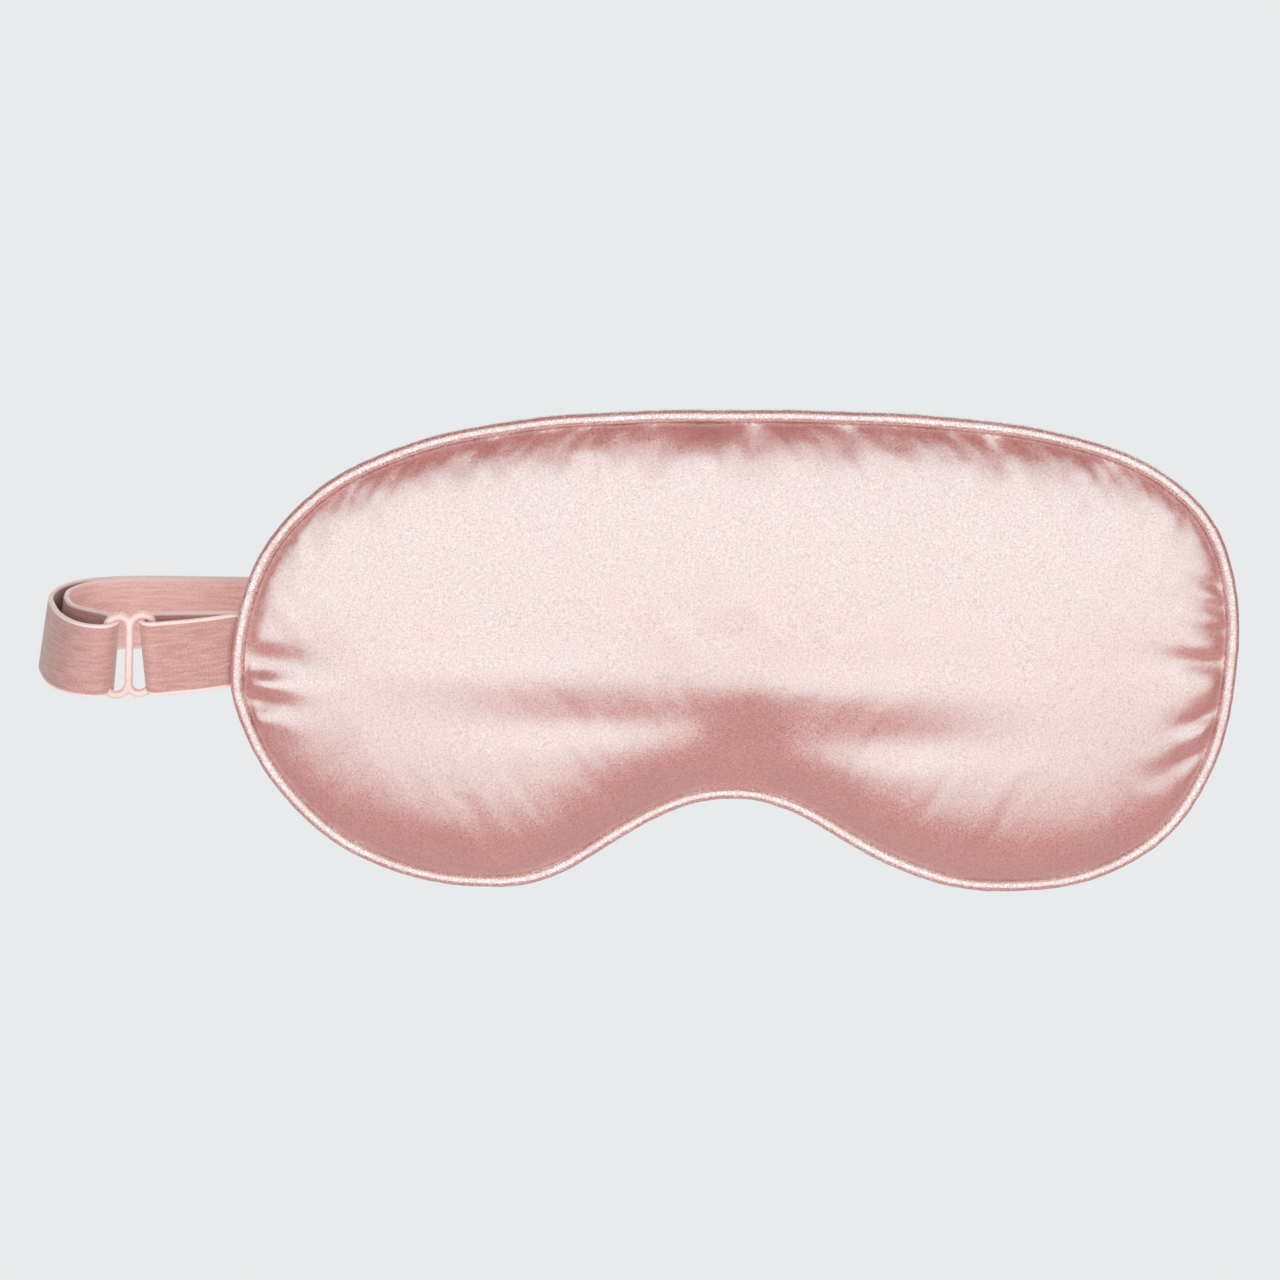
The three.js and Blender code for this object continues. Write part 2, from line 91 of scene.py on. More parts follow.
def apply_modifiers(piece):
    """Replaces the piece's mesh with what its modifiers make of it, and removes them."""
    graph = bpy.context.evaluated_depsgraph_get()
    made = bpy.data.meshes.new_from_object(piece.evaluated_get(graph))
    piece.modifiers.clear()
    piece.data = made
    return piece


def vertices_of(mesh):
    """The mesh's points as an (n, 3) array."""
    flat = np.empty(len(mesh.vertices) * 3)
    mesh.vertices.foreach_get("co", flat)
    return flat.reshape(-1, 3)


def set_vertices(mesh, points):
    """Writes an (n, 3) array into the mesh's points."""
    mesh.vertices.foreach_set("co", np.asarray(points, np.float32).ravel())
    mesh.update()


def grid_faces(rows, columns, wrap_rows=False, wrap_columns=False):
    """Quads of a grid whose point (i, j) has the number i * columns + j."""
    last_row = rows if wrap_rows else rows - 1
    last_column = columns if wrap_columns else columns - 1
    i, j = np.meshgrid(np.arange(last_row), np.arange(last_column), indexing="ij")
    below = (i + 1) % rows
    beside = (j + 1) % columns
    quads = np.stack([i * columns + j, i * columns + beside, below * columns + beside,
                      below * columns + j], axis=-1)
    return quads.reshape(-1, 4)


def smooth_step(low, high, value):
    """0 below low, 1 above high, and 3t^2 - 2t^3 between them."""
    share = np.clip((value - low) / (high - low), 0, 1)
    return share * share * (3 - 2 * share)


# %% [markdown]
# ## Materials
# Each finish starts from what the real one is. Colours are sRGB hex values, which one function turns
# to the linear numbers that the shader needs.


# %% Material helpers
def linear(hex_colour):
    """sRGB hex to linear RGBA: (c / 12.92) for dark values, else ((c + 0.055) / 1.055) ^ 2.4."""
    parts = [int(hex_colour[i:i + 2], 16) / 255 for i in (1, 3, 5)]
    return tuple(c / 12.92 if c <= 0.04045 else ((c + 0.055) / 1.055) ** 2.4 for c in parts) + (1.0,)


def add_node(tree, kind, settings=None, **inputs):
    """A node of the given kind with its settings, and inputs that are values or another node's output."""
    node = tree.nodes.new(kind)
    for key, value in (settings or {}).items():
        setattr(node, key, value)
    for key, value in inputs.items():
        socket = node.inputs[int(key[1:])] if key[0] == "n" and key[1:].isdigit() else node.inputs[key]
        if isinstance(value, bpy.types.NodeSocket):
            tree.links.new(value, socket)
        else:
            socket.default_value = value
    return node


def start_material(name, **sockets):
    """A new material with one Principled shader, and its plain numbers set on the shader itself."""
    material = bpy.data.materials.new(name)
    material.use_nodes = True
    tree = material.node_tree
    shader = tree.nodes["Principled BSDF"]
    for key, value in sockets.items():
        shader.inputs[key.replace("_", " ")].default_value = value
    return material, tree, shader


def ramp(tree, factor, stops):
    """A colour ramp of (place, hex colour) stops."""
    node = add_node(tree, "ShaderNodeValToRGB", Fac=factor)
    elements = node.color_ramp.elements
    while len(elements) < len(stops):
        elements.new(0.5)
    for element, (place, colour) in zip(elements, stops):
        element.position = place
        element.color = linear(colour)
    return node.outputs["Color"]


# %% [markdown]
# ### Satin charmeuse
# Polyester charmeuse floats its warp threads over four picks, so it is smooth and throws a broad
# soft highlight. Its filaments twinkle: seen close, the sheen breaks into grains of about half a
# millimetre. The grain is noise in the colour, the roughness and a very shallow bump.

# %% Satin
GRAIN = 0.42 * MM
SATIN_DARK = "#BE4538"
SATIN_MID = "#CA4D3F"
SATIN_LIGHT = "#D65C4C"


def satin_material(name, grain_size, light=SATIN_LIGHT):
    """Polyester charmeuse: warp-faced satin weave, calendered, with grains of the size given."""
    material, tree, shader = start_material(
        name, Specular_Tint=(0.64, 1.0, 0.99, 1.0), Sheen_Weight=0.08, Sheen_Roughness=0.4)
    spot = add_node(tree, "ShaderNodeTexCoord").outputs["Object"]
    grain = add_node(tree, "ShaderNodeTexNoise", Vector=spot, Scale=1 / grain_size, Detail=3.0,
                     Roughness=0.65).outputs["Fac"]
    cloudy = add_node(tree, "ShaderNodeTexNoise", Vector=spot, Scale=1 / (14 * MM), Detail=2.0).outputs["Fac"]
    blend = add_node(tree, "ShaderNodeMath", {"operation": "MULTIPLY_ADD"}, n0=cloudy, n1=0.25, n2=grain)
    place = add_node(tree, "ShaderNodeMapRange", Value=blend.outputs[0], **{
        "From Min": 0.42, "From Max": 0.82}).outputs["Result"]
    tree.links.new(ramp(tree, place, [(0.0, SATIN_DARK), (0.5, SATIN_MID), (1.0, light)]),
                   shader.inputs["Base Color"])
    rough = add_node(tree, "ShaderNodeMapRange", Value=grain, **{
        "From Min": 0.3, "From Max": 0.7, "To Min": 0.28, "To Max": 0.44}).outputs["Result"]
    tree.links.new(rough, shader.inputs["Roughness"])
    gloss = add_node(tree, "ShaderNodeMapRange", Value=grain, **{
        "From Min": 0.3, "From Max": 0.7, "To Min": 3.1, "To Max": 5.9}).outputs["Result"]
    tree.links.new(gloss, shader.inputs["IOR"])
    bump = add_node(tree, "ShaderNodeBump", Height=grain, Strength=0.5, Distance=0.08 * MM)
    tree.links.new(bump.outputs["Normal"], shader.inputs["Normal"])
    return material


satin = satin_material("charmeuse_satin", GRAIN)
# The piping's grains run from the panels' dark rose to a near-white pink: random tone, with the pale end a
# painted highlight for the light along the cord.
piping_satin = satin_material("bias_cut_satin", 0.36 * MM, light="#EFCFCA")
print("satin grain", GRAIN, "m")

# %% [markdown]
# ### Woven elastic
# Narrow woven elastic has rubber cores running along it, about 0.8 mm apart, wrapped by fine picks
# that cross them. The cores are modelled as real ribs; the material adds the picks and the fuzz,
# and follows the strap's own map, which is its length and width in metres. The face of the inner run
# that lies towards the head is painted a paler pink: painted light, in place of the light that the
# near run keeps from it.

# %% Elastic
RIB_PITCH = 0.8 * MM
PICK_PITCH = 0.55 * MM


def elastic_material():
    """Ribbed woven elastic: nylon and rubber, dyed dusty pink, matte with a little fuzz."""
    material, tree, shader = start_material(
        "woven_elastic", Roughness=0.8, Sheen_Weight=0.35, Sheen_Roughness=0.5)
    along = add_node(tree, "ShaderNodeUVMap", {"uv_map": "strap"}).outputs["UV"]
    parts = add_node(tree, "ShaderNodeSeparateXYZ", Vector=along)
    picks = add_node(tree, "ShaderNodeTexWave", {"bands_direction": "X"}, Vector=along,
                     Scale=math.pi / (10 * PICK_PITCH), Distortion=1.5, Detail=1.0).outputs["Fac"]
    fuzz = add_node(tree, "ShaderNodeTexNoise", Vector=along, Scale=1 / (0.4 * MM), Detail=3.0,
                    Roughness=0.7).outputs["Fac"]
    streaks_place = add_node(tree, "ShaderNodeVectorMath", {"operation": "MULTIPLY"}, n0=along,
                             n1=(0.12, 1.0, 1.0))
    streaks = add_node(tree, "ShaderNodeTexNoise", Vector=streaks_place.outputs[0], Scale=1 / (0.7 * MM),
                       Detail=2.0).outputs["Fac"]
    mixed = add_node(tree, "ShaderNodeMath", {"operation": "MULTIPLY_ADD"}, n0=streaks, n1=0.6, n2=fuzz)
    place = add_node(tree, "ShaderNodeMapRange", Value=mixed.outputs[0], **{
        "From Min": 0.6, "From Max": 1.0}).outputs["Result"]
    woven = ramp(tree, place, [(0.0, "#AF7D75"), (0.5, "#BF9089"), (1.0, "#CCA49D")])
    # Painted light: the paler colour for the inner run's face towards the head, standing in for light that
    # the near run blocks.
    painted_light_face = ramp(tree, place, [(0.0, "#E6AFA6"), (0.5, "#F6C6BE"), (1.0, "#FFD9D2")])
    plush = add_node(tree, "ShaderNodeAttribute", {"attribute_name": "plush"}).outputs["Fac"]
    body = add_node(tree, "ShaderNodeMix", {"data_type": "RGBA"}, Factor=plush, A=woven,
                    B=painted_light_face).outputs["Result"]
    # Painted highlight: the outer 0.8 mm of both edges, fading in over 0.3 mm, is mixed to pale pink, for the
    # light line that the edges catch.
    edge = add_node(tree, "ShaderNodeMath", {"operation": "ABSOLUTE"}, n0=parts.outputs["Y"])
    painted_edge_highlight = add_node(tree, "ShaderNodeMapRange", Value=edge.outputs[0], **{
        "From Min": 7.2 * MM, "From Max": 7.5 * MM}).outputs["Result"]
    colour = add_node(tree, "ShaderNodeMix", {"data_type": "RGBA"}, Factor=painted_edge_highlight, A=body,
                      B=linear("#F2D6D0"))
    tree.links.new(colour.outputs["Result"], shader.inputs["Base Color"])
    height = add_node(tree, "ShaderNodeMath", {"operation": "MULTIPLY_ADD"}, n0=picks, n1=0.7, n2=fuzz)
    bump = add_node(tree, "ShaderNodeBump", Height=height.outputs[0], Strength=0.5, Distance=0.08 * MM)
    tree.links.new(bump.outputs["Normal"], shader.inputs["Normal"])
    return material


elastic = elastic_material()
print("elastic rib pitch", RIB_PITCH, "m")

# %% [markdown]
# ### Moulded nylon
# The ring and the slide are injection-moulded nylon dyed pale pink: slightly see-through at the
# edges, so light scatters inside them, with a soft gloss and faint flow marks.


# %% Nylon
def nylon_material():
    """Injection-moulded nylon 66, dyed pale pink, with a soft gloss."""
    material, tree, shader = start_material(
        "moulded_nylon", IOR=1.53, Subsurface_Weight=0.35, Subsurface_Scale=1.2 * MM)
    shader.inputs["Subsurface Radius"].default_value = (1.0, 0.55, 0.5)
    spot = add_node(tree, "ShaderNodeTexCoord").outputs["Object"]
    flow = add_node(tree, "ShaderNodeTexNoise", Vector=spot, Scale=1 / (2.5 * MM), Detail=3.0).outputs["Fac"]
    tree.links.new(ramp(tree, flow, [(0.3, "#E0BFB9"), (0.7, "#E9CEC9")]), shader.inputs["Base Color"])
    rough = add_node(tree, "ShaderNodeMapRange", Value=flow, **{"To Min": 0.22, "To Max": 0.38})
    tree.links.new(rough.outputs["Result"], shader.inputs["Roughness"])
    bump = add_node(tree, "ShaderNodeBump", Height=flow, Strength=0.15, Distance=0.05 * MM)
    tree.links.new(bump.outputs["Normal"], shader.inputs["Normal"])
    return material


nylon = nylon_material()

# %% [markdown]
# ### What the mask holds inside
# Loose polyester wadding, a black woven lining, a twisted cotton cord and spun sewing thread. They
# show only if the mask is opened, but each has its own finish.


# %% Inner materials
def fibre_material(name, dark, light, size, stretch=(1.0, 1.0, 1.0)):
    """A matte fibrous finish: noise of the size given, drawn out along the axes by stretch."""
    material, tree, shader = start_material(name, Roughness=0.92, Sheen_Weight=0.3, Sheen_Roughness=0.6)
    spot = add_node(tree, "ShaderNodeTexCoord").outputs["Object"]
    drawn = add_node(tree, "ShaderNodeVectorMath", {"operation": "MULTIPLY"}, n0=spot, n1=stretch)
    fibre = add_node(tree, "ShaderNodeTexNoise", Vector=drawn.outputs[0], Scale=1 / size, Detail=4.0,
                     Roughness=0.7).outputs["Fac"]
    tree.links.new(ramp(tree, fibre, [(0.3, dark), (0.7, light)]), shader.inputs["Base Color"])
    bump = add_node(tree, "ShaderNodeBump", Height=fibre, Strength=0.6, Distance=0.2 * MM)
    tree.links.new(bump.outputs["Normal"], shader.inputs["Normal"])
    return material


wadding_fibre = fibre_material("polyester_wadding", "#DDD8CF", "#F7F4EE", 1.5 * MM, (1.0, 1.0, 0.3))
lining_weave = fibre_material("blackout_weave", "#161415", "#2E2A2C", 0.4 * MM)
cotton_cord = fibre_material("twisted_cotton_cord", "#DCD6CB", "#F6F2EA", 0.6 * MM)
sewing_thread = fibre_material("spun_sewing_thread", "#C08E87", "#E3BEB9", 0.3 * MM)

# %% [markdown]
# ## Camera, stage and light
# The camera stands level with the face of the mask and 18 degrees above it, far away on a long lens.
# The mask is worn, so it hangs clear of the floor. A floor far below it sweeps up into a glowing pale
# backdrop, and the floor ends in front of the mask, where only the sky is seen.

# %% Camera and stage
FOCAL_LENGTH = 135.0
SENSOR_WIDTH = 36.0
FRAME_WIDTH = 267.8 * MM
CAMERA_TILT = math.radians(18.0)
FRAME_CENTRE_X = -19.7 * MM
FRAME_CENTRE_Z = 2.6 * MM
FLOOR_DEPTH = 1.7
FLOOR_FRONT_Y = -1.2
STAGE_HALF_WIDTH = 3.0
STAGE_BEND = 0.6
WALL_Y = 2.2
WALL_HEIGHT = 3.5
BACKDROP_COLOUR = "#E8EAEB"
joints = {joint["name"]: joint for joint in frame["joints"]}
seam_y = joints["tab_swing"]["pos_m"][1]

scene = bpy.context.scene
scene.view_settings.view_transform = "Standard"
camera_data = bpy.data.cameras.new("camera")
camera_data.lens = FOCAL_LENGTH
camera_data.sensor_width = SENSOR_WIDTH
camera = bpy.data.objects.new("camera", camera_data)
scene.collection.objects.link(camera)
distance = FRAME_WIDTH * FOCAL_LENGTH / SENSOR_WIDTH
aim = Vector((FRAME_CENTRE_X, seam_y, FRAME_CENTRE_Z))
camera.location = aim + distance * Vector((0, -math.cos(CAMERA_TILT), math.sin(CAMERA_TILT)))
camera.rotation_euler = (aim - camera.location).to_track_quat("-Z", "Y").to_euler()
scene.camera = camera
print("camera", tuple(round(value, 4) for value in camera.location), "distance", round(distance, 3))


def stage_sheet():
    """A pale sheet: a floor that sweeps up into a wall behind, so that no corner shows.

    The side view is a floor at z = -depth, a quarter circle, and a wall; it is extruded along X. Only
    the flat floor is paper, and the curve and the wall glow."""
    turn = np.linspace(0, math.pi / 2, 16)
    side_y = np.concatenate([[FLOOR_FRONT_Y], WALL_Y - STAGE_BEND + STAGE_BEND * np.sin(turn), [WALL_Y]])
    side_z = -FLOOR_DEPTH + np.concatenate([[0.0], STAGE_BEND - STAGE_BEND * np.cos(turn), [WALL_HEIGHT]])
    across = np.linspace(-STAGE_HALF_WIDTH, STAGE_HALF_WIDTH, 3)
    points = np.stack([np.repeat(across, len(side_y)), np.tile(side_y, 3), np.tile(side_z, 3)], axis=1)
    mesh = bpy.data.meshes.new("stage_sheet")
    mesh.from_pydata(points.tolist(), [], grid_faces(3, len(side_y)).tolist())
    mesh.polygons.foreach_set("use_smooth", [True] * len(mesh.polygons))
    sheet = bpy.data.objects.new("stage_sheet", mesh)
    scene.collection.objects.link(sheet)
    paper, _, shader = start_material("studio_paper", Roughness=0.9)
    shader.inputs["Base Color"].default_value = linear("#D6D8D9")
    mesh.materials.append(paper)
    glow, _, panel = start_material("backlit_backdrop", Roughness=1.0, Emission_Strength=1.0)
    panel.inputs["Base Color"].default_value = (0.0, 0.0, 0.0, 1.0)
    panel.inputs["Specular IOR Level"].default_value = 0.0
    panel.inputs["Emission Color"].default_value = linear(BACKDROP_COLOUR)
    mesh.materials.append(glow)
    columns = len(side_y)
    glowing = [int(face % (columns - 1) > 0) for face in range(len(mesh.polygons))]
    mesh.polygons.foreach_set("material_index", glowing)


stage_sheet()

# %% [markdown]
# One broad softbox stands in front of the mask and leans over it, so that every part of the satin
# that looks forwards or up mirrors it, and what looks down mirrors the dim floor and sky. A smaller
# one lights the strap and the back of the mask. A weak sky fills, and where the camera sees the sky
# itself it has the backdrop's colour.


# %% Lights
def area_light(name, place, size, power, look_at=(0.0, 0.0, 0.0)):
    """A rectangular softbox of size (width, height) that faces look_at."""
    lamp = bpy.data.lights.new(name, "AREA")
    lamp.shape = "RECTANGLE"
    lamp.size, lamp.size_y = size
    lamp.energy = power
    box = bpy.data.objects.new(name, lamp)
    scene.collection.objects.link(box)
    box.location = place
    box.rotation_euler = (Vector(look_at) - Vector(place)).to_track_quat("-Z", "Y").to_euler()
    return box


area_light("front_softbox", (0.0, -1.4, 0.2), (4.8, 2.46), 62.0, look_at=(0.0, 0.0, 0.2))
area_light("back_softbox", (0.3, 1.3, 0.9), (2.2, 1.4), 13.0)
world = bpy.data.worlds.new("studio_sky")
world.use_nodes = True
fill = world.node_tree.nodes["Background"]
fill.inputs["Color"].default_value = linear("#F1F2F4")
fill.inputs["Strength"].default_value = 0.3
seen = add_node(world.node_tree, "ShaderNodeBackground", Color=linear(BACKDROP_COLOUR), Strength=1.0)
direct = add_node(world.node_tree, "ShaderNodeLightPath").outputs["Is Camera Ray"]
either = add_node(world.node_tree, "ShaderNodeMixShader", Fac=direct, n1=fill.outputs[0], n2=seen.outputs[0])
world.node_tree.links.new(either.outputs[0], world.node_tree.nodes["World Output"].inputs["Surface"])
scene.world = world

# %% [markdown]
# ## The outline
# Both satin panels are cut to one outline: a long oval with two lower lobes and a notch for the
# nose. It is six Bezier stretches between the places where the edge runs level or upright.

# %% Outline
OUTLINE = (
    # each stretch: start, its handle, the next handle, end, in millimetres (x, z)
    ((-3.5, 52.5), (70.5, 52.5), (105.5, 46.5), (105.5, 2.5)),
    ((105.5, 2.5), (105.5, -41.5), (83.0, -53.5), (58.0, -53.5)),
    ((58.0, -53.5), (29.0, -53.5), (18.5, -32.5), (0.5, -32.5)),
    ((0.5, -32.5), (-21.5, -32.5), (-30.0, -52.5), (-50.0, -52.5)),
    ((-50.0, -52.5), (-97.5, -52.5), (-105.5, -10.5), (-105.5, -8.5)),
    ((-105.5, -8.5), (-105.5, 47.0), (-54.5, 52.5), (-3.5, 52.5)),
)


def outline_loop(count, inset):
    """Count points evenly spaced round the outline, moved inwards by the inset, as (n, 2) metres.

    Each stretch is the cubic Bezier (1-t)^3 a + 3(1-t)^2 t b + 3(1-t) t^2 c + t^3 d. The points are
    spaced by the length along the polyline, and the inset is measured along the loop's own normal."""
    t = np.linspace(0, 1, 400, endpoint=False)[:, None]
    a, b, c, d = (np.array([stretch[k] for stretch in OUTLINE])[:, None, :] for k in range(4))
    fine = ((1 - t) ** 3 * a + 3 * (1 - t) ** 2 * t * b + 3 * (1 - t) * t ** 2 * c + t ** 3 * d)
    fine = fine.reshape(-1, 2) * MM
    closed = np.vstack([fine, fine[:1]])
    reach = np.concatenate([[0], np.cumsum(np.linalg.norm(np.diff(closed, axis=0), axis=1))])
    wanted = np.linspace(0, reach[-1], count, endpoint=False)
    loop = np.stack([np.interp(wanted, reach, closed[:, k]) for k in range(2)], axis=1)
    along = np.roll(loop, -1, axis=0) - np.roll(loop, 1, axis=0)
    along /= np.linalg.norm(along, axis=1)[:, None]
    return loop + inset * np.stack([along[:, 1], -along[:, 0]], axis=1)


def loop_length(loop):
    """Length round a closed loop of points."""
    return np.linalg.norm(np.roll(loop, -1, axis=0) - loop, axis=1).sum()


PIPING_RADIUS = 1.25 * MM
SEAM_INSET = 2.5 * MM
print("outline", round(loop_length(outline_loop(600, 0.0)) / MM, 1), "mm round")

# %% [markdown]
# ## The satin panels
# Each panel is eased on to a shorter seam, so the satin is longer than the seam it is sewn to and
# throws small gathers there. That is made the same way here: a flat-cut pillow of two panels, pinned
# along its seam, is given cloth that is a few per cent too large, and is blown up by pressure. The
# points are a triangle lattice, because a square one would fold along its own lines.

# %% Panel mesh
LATTICE = 1.9 * MM
FRONT_RISE = 9.5 * MM
BACK_RISE = 5.2 * MM
DOME_REACH = 7.5 * MM


def seam_distance(spots, loop):
    """Each spot's distance to the nearest point of the loop, whole arrays at a time."""
    gaps = spots[:, None, :] - loop[None, :, :]
    return np.sqrt((gaps ** 2).sum(axis=2)).min(axis=1)


def inside_loop(spots, loop):
    """True where a ray from the spot along +x crosses the loop an odd number of times."""
    ax, az = loop[:, 0], loop[:, 1]
    bx, bz = np.roll(ax, -1), np.roll(az, -1)
    px, pz = spots[:, 0:1], spots[:, 1:2]
    spans = (az > pz) != (bz > pz)
    crossing = ax + (pz - az) * (bx - ax) / np.where(bz == az, 1e-12, bz - az)
    return (spans & (px < crossing)).sum(axis=1) % 2 == 1


def panel_lattice():
    """The panel's flat mesh: seam points, three loops beside them, then a triangle lattice."""
    count = int(round(loop_length(outline_loop(600, SEAM_INSET)) / LATTICE))
    loops = [outline_loop(count, SEAM_INSET + step * MM) for step in (0.0, 0.9, 2.0, 3.4)]
    columns = np.arange(loops[0][:, 0].min(), loops[0][:, 0].max(), LATTICE)
    rows = np.arange(loops[0][:, 1].min(), loops[0][:, 1].max(), LATTICE * math.sqrt(3) / 2)
    x, z = np.meshgrid(columns, rows)
    x = x + np.where(np.arange(len(rows)) % 2, LATTICE / 2, 0)[:, None]
    spots = np.stack([x.ravel(), z.ravel()], axis=1)
    spots = spots[inside_loop(spots, loops[-1])]
    spots = spots[seam_distance(spots, loops[-1]) > 0.6 * LATTICE]
    everything = np.vstack(loops + [spots])
    edges = [(k, (k + 1) % count) for k in range(count)]
    made = delaunay_2d_cdt([Vector(p) for p in everything.tolist()], edges, [], 1, 1e-7)
    flat = np.array([tuple(p) for p in made[0]])
    return flat, np.array([list(face) for face in made[2]]), count


panel_flat, panel_faces, seam_count = panel_lattice()
panel_depth = seam_distance(panel_flat, outline_loop(1400, SEAM_INSET))
print("panel", len(panel_flat), "points,", len(panel_faces), "triangles,", seam_count, "on the seam")

# %% [markdown]
# The start shape is a low dome: the height rises fast beside the seam and levels out over the pad.
# Both domes share the seam, so they make one closed pillow.


# %% Inflate the pillow
def dome(spots, depth):
    """Height over the seam plane, 1 in the middle: (1 - exp(-depth / 7.5 mm)) * g.

    g falls smoothly from 1 at |x| = 55 mm to 0.66 at the ends, where the pad is thinner."""
    ends = 1 - 0.34 * smooth_step(55 * MM, 100 * MM, np.abs(spots[:, 0]))
    return (1 - np.exp(-depth / DOME_REACH)) * ends


def pillow():
    """Both panels as one closed mesh; the back panel's points follow the front's, without the seam."""
    front = 0.8 * FRONT_RISE * dome(panel_flat, panel_depth)
    back = 0.8 * BACK_RISE * dome(panel_flat, panel_depth)
    inner = np.arange(seam_count, len(panel_flat))
    x, z = panel_flat.T
    points = np.vstack([np.stack([x, -front, z], axis=1), np.stack([x, back, z], axis=1)[inner]])
    on_back = np.where(np.arange(len(panel_flat)) < seam_count, np.arange(len(panel_flat)),
                       np.arange(len(panel_flat)) + len(inner))
    faces = np.vstack([panel_faces, on_back[panel_faces][:, ::-1]])
    return points, faces, on_back


SIM_SCALE = 8.0
SIM_FRAMES = 26


def inflate(points, faces):
    """Blows the pillow up as cloth with its seam pinned, and returns its points.

    The solver behaves best on something about a metre wide, so the pillow is enlarged for it."""
    pad = new_mesh("pillow_for_cloth", points * SIM_SCALE, faces)
    pins = pad.vertex_groups.new(name="seam")
    pins.add(list(range(seam_count)), 1.0, "REPLACE")
    cloth = pad.modifiers.new("Cloth", "CLOTH")
    cloth.settings.vertex_group_mass = "seam"
    cloth.settings.quality = 6
    cloth.settings.mass = 0.15
    cloth.settings.tension_stiffness = 25
    cloth.settings.compression_stiffness = 25
    cloth.settings.shear_stiffness = 8
    cloth.settings.bending_stiffness = 0.25
    cloth.settings.tension_damping = 10
    cloth.settings.compression_damping = 10
    cloth.settings.shear_damping = 5
    cloth.settings.bending_damping = 2
    cloth.settings.air_damping = 3
    cloth.settings.shrink_min = -0.03
    cloth.settings.use_pressure = True
    cloth.settings.uniform_pressure_force = 2.2
    cloth.settings.effector_weights.gravity = 0
    cloth.collision_settings.use_collision = False
    cloth.collision_settings.use_self_collision = False
    cloth.point_cache.frame_start = 1
    cloth.point_cache.frame_end = SIM_FRAMES
    for number in range(1, SIM_FRAMES + 1):
        scene.frame_set(number)
    graph = bpy.context.evaluated_depsgraph_get()
    blown = vertices_of(pad.evaluated_get(graph).data) / SIM_SCALE
    scene.frame_set(1)
    bpy.data.objects.remove(pad)
    return blown


pillow_points, pillow_faces, on_back = pillow()
blown = inflate(pillow_points, pillow_faces)
moved = np.linalg.norm(blown - pillow_points, axis=1)
print("pillow moved by up to", round(moved.max() / MM, 2), "mm; front rise",
      round(-blown[:, 1].min() / MM, 2), "mm, back rise", round(blown[:, 1].max() / MM, 2), "mm")

# %% [markdown]
# The cloth gives the stretched, slightly uneven body of the pillow. Its height is then brought to the
# mask's own thickness, and the folds that the seams throw are added where this mask has them: sunk
# gathers under the top edge, short sharp puckers at both sides, and the dip above the nose.


# %% Folds
def fold(spots, place, towards, reach, width, depth):
    """How far one seam fold sinks each spot (x, z); a negative depth makes a raised pleat.

    s runs inwards from the place, and c across. The fold is
    depth * e * (s / p) * exp(1 - s / p) / e * exp(-(c / w)^2), with p = reach / 4 and
    w = width * (1 + 1.2 s / reach), so that it starts at nothing, is deepest near the seam, and fans out."""
    direction = np.array(towards, float) / math.hypot(*towards)
    offset = spots - np.array(place, float) * MM
    s = np.clip(offset @ direction, 0, None)
    c = offset @ np.array([-direction[1], direction[0]])
    peak = reach * MM / 4
    spread = width * MM * (1 + 1.2 * s / (reach * MM))
    return depth * MM * (s / peak) * np.exp(1 - s / peak) * np.exp(-(c / spread) ** 2)


def dimple(spots, place, size, depth):
    """A soft round dip: depth * exp(-(x / a)^2 - (z / b)^2) about the place."""
    offset = (spots - np.array(place, float) * MM) / (np.array(size, float) * MM)
    return depth * MM * np.exp(-(offset ** 2).sum(axis=1))


def uneven(arc, seed, wavelengths):
    """A repeatable random wave along the seam: the mean of sines of unlike wavelengths in millimetres."""
    phases = seed * np.arange(1, len(wavelengths) + 1) ** 1.7
    waves = [np.sin(2 * math.pi * arc / (w * MM) + p) for w, p in zip(wavelengths, phases)]
    return sum(waves) / len(waves)


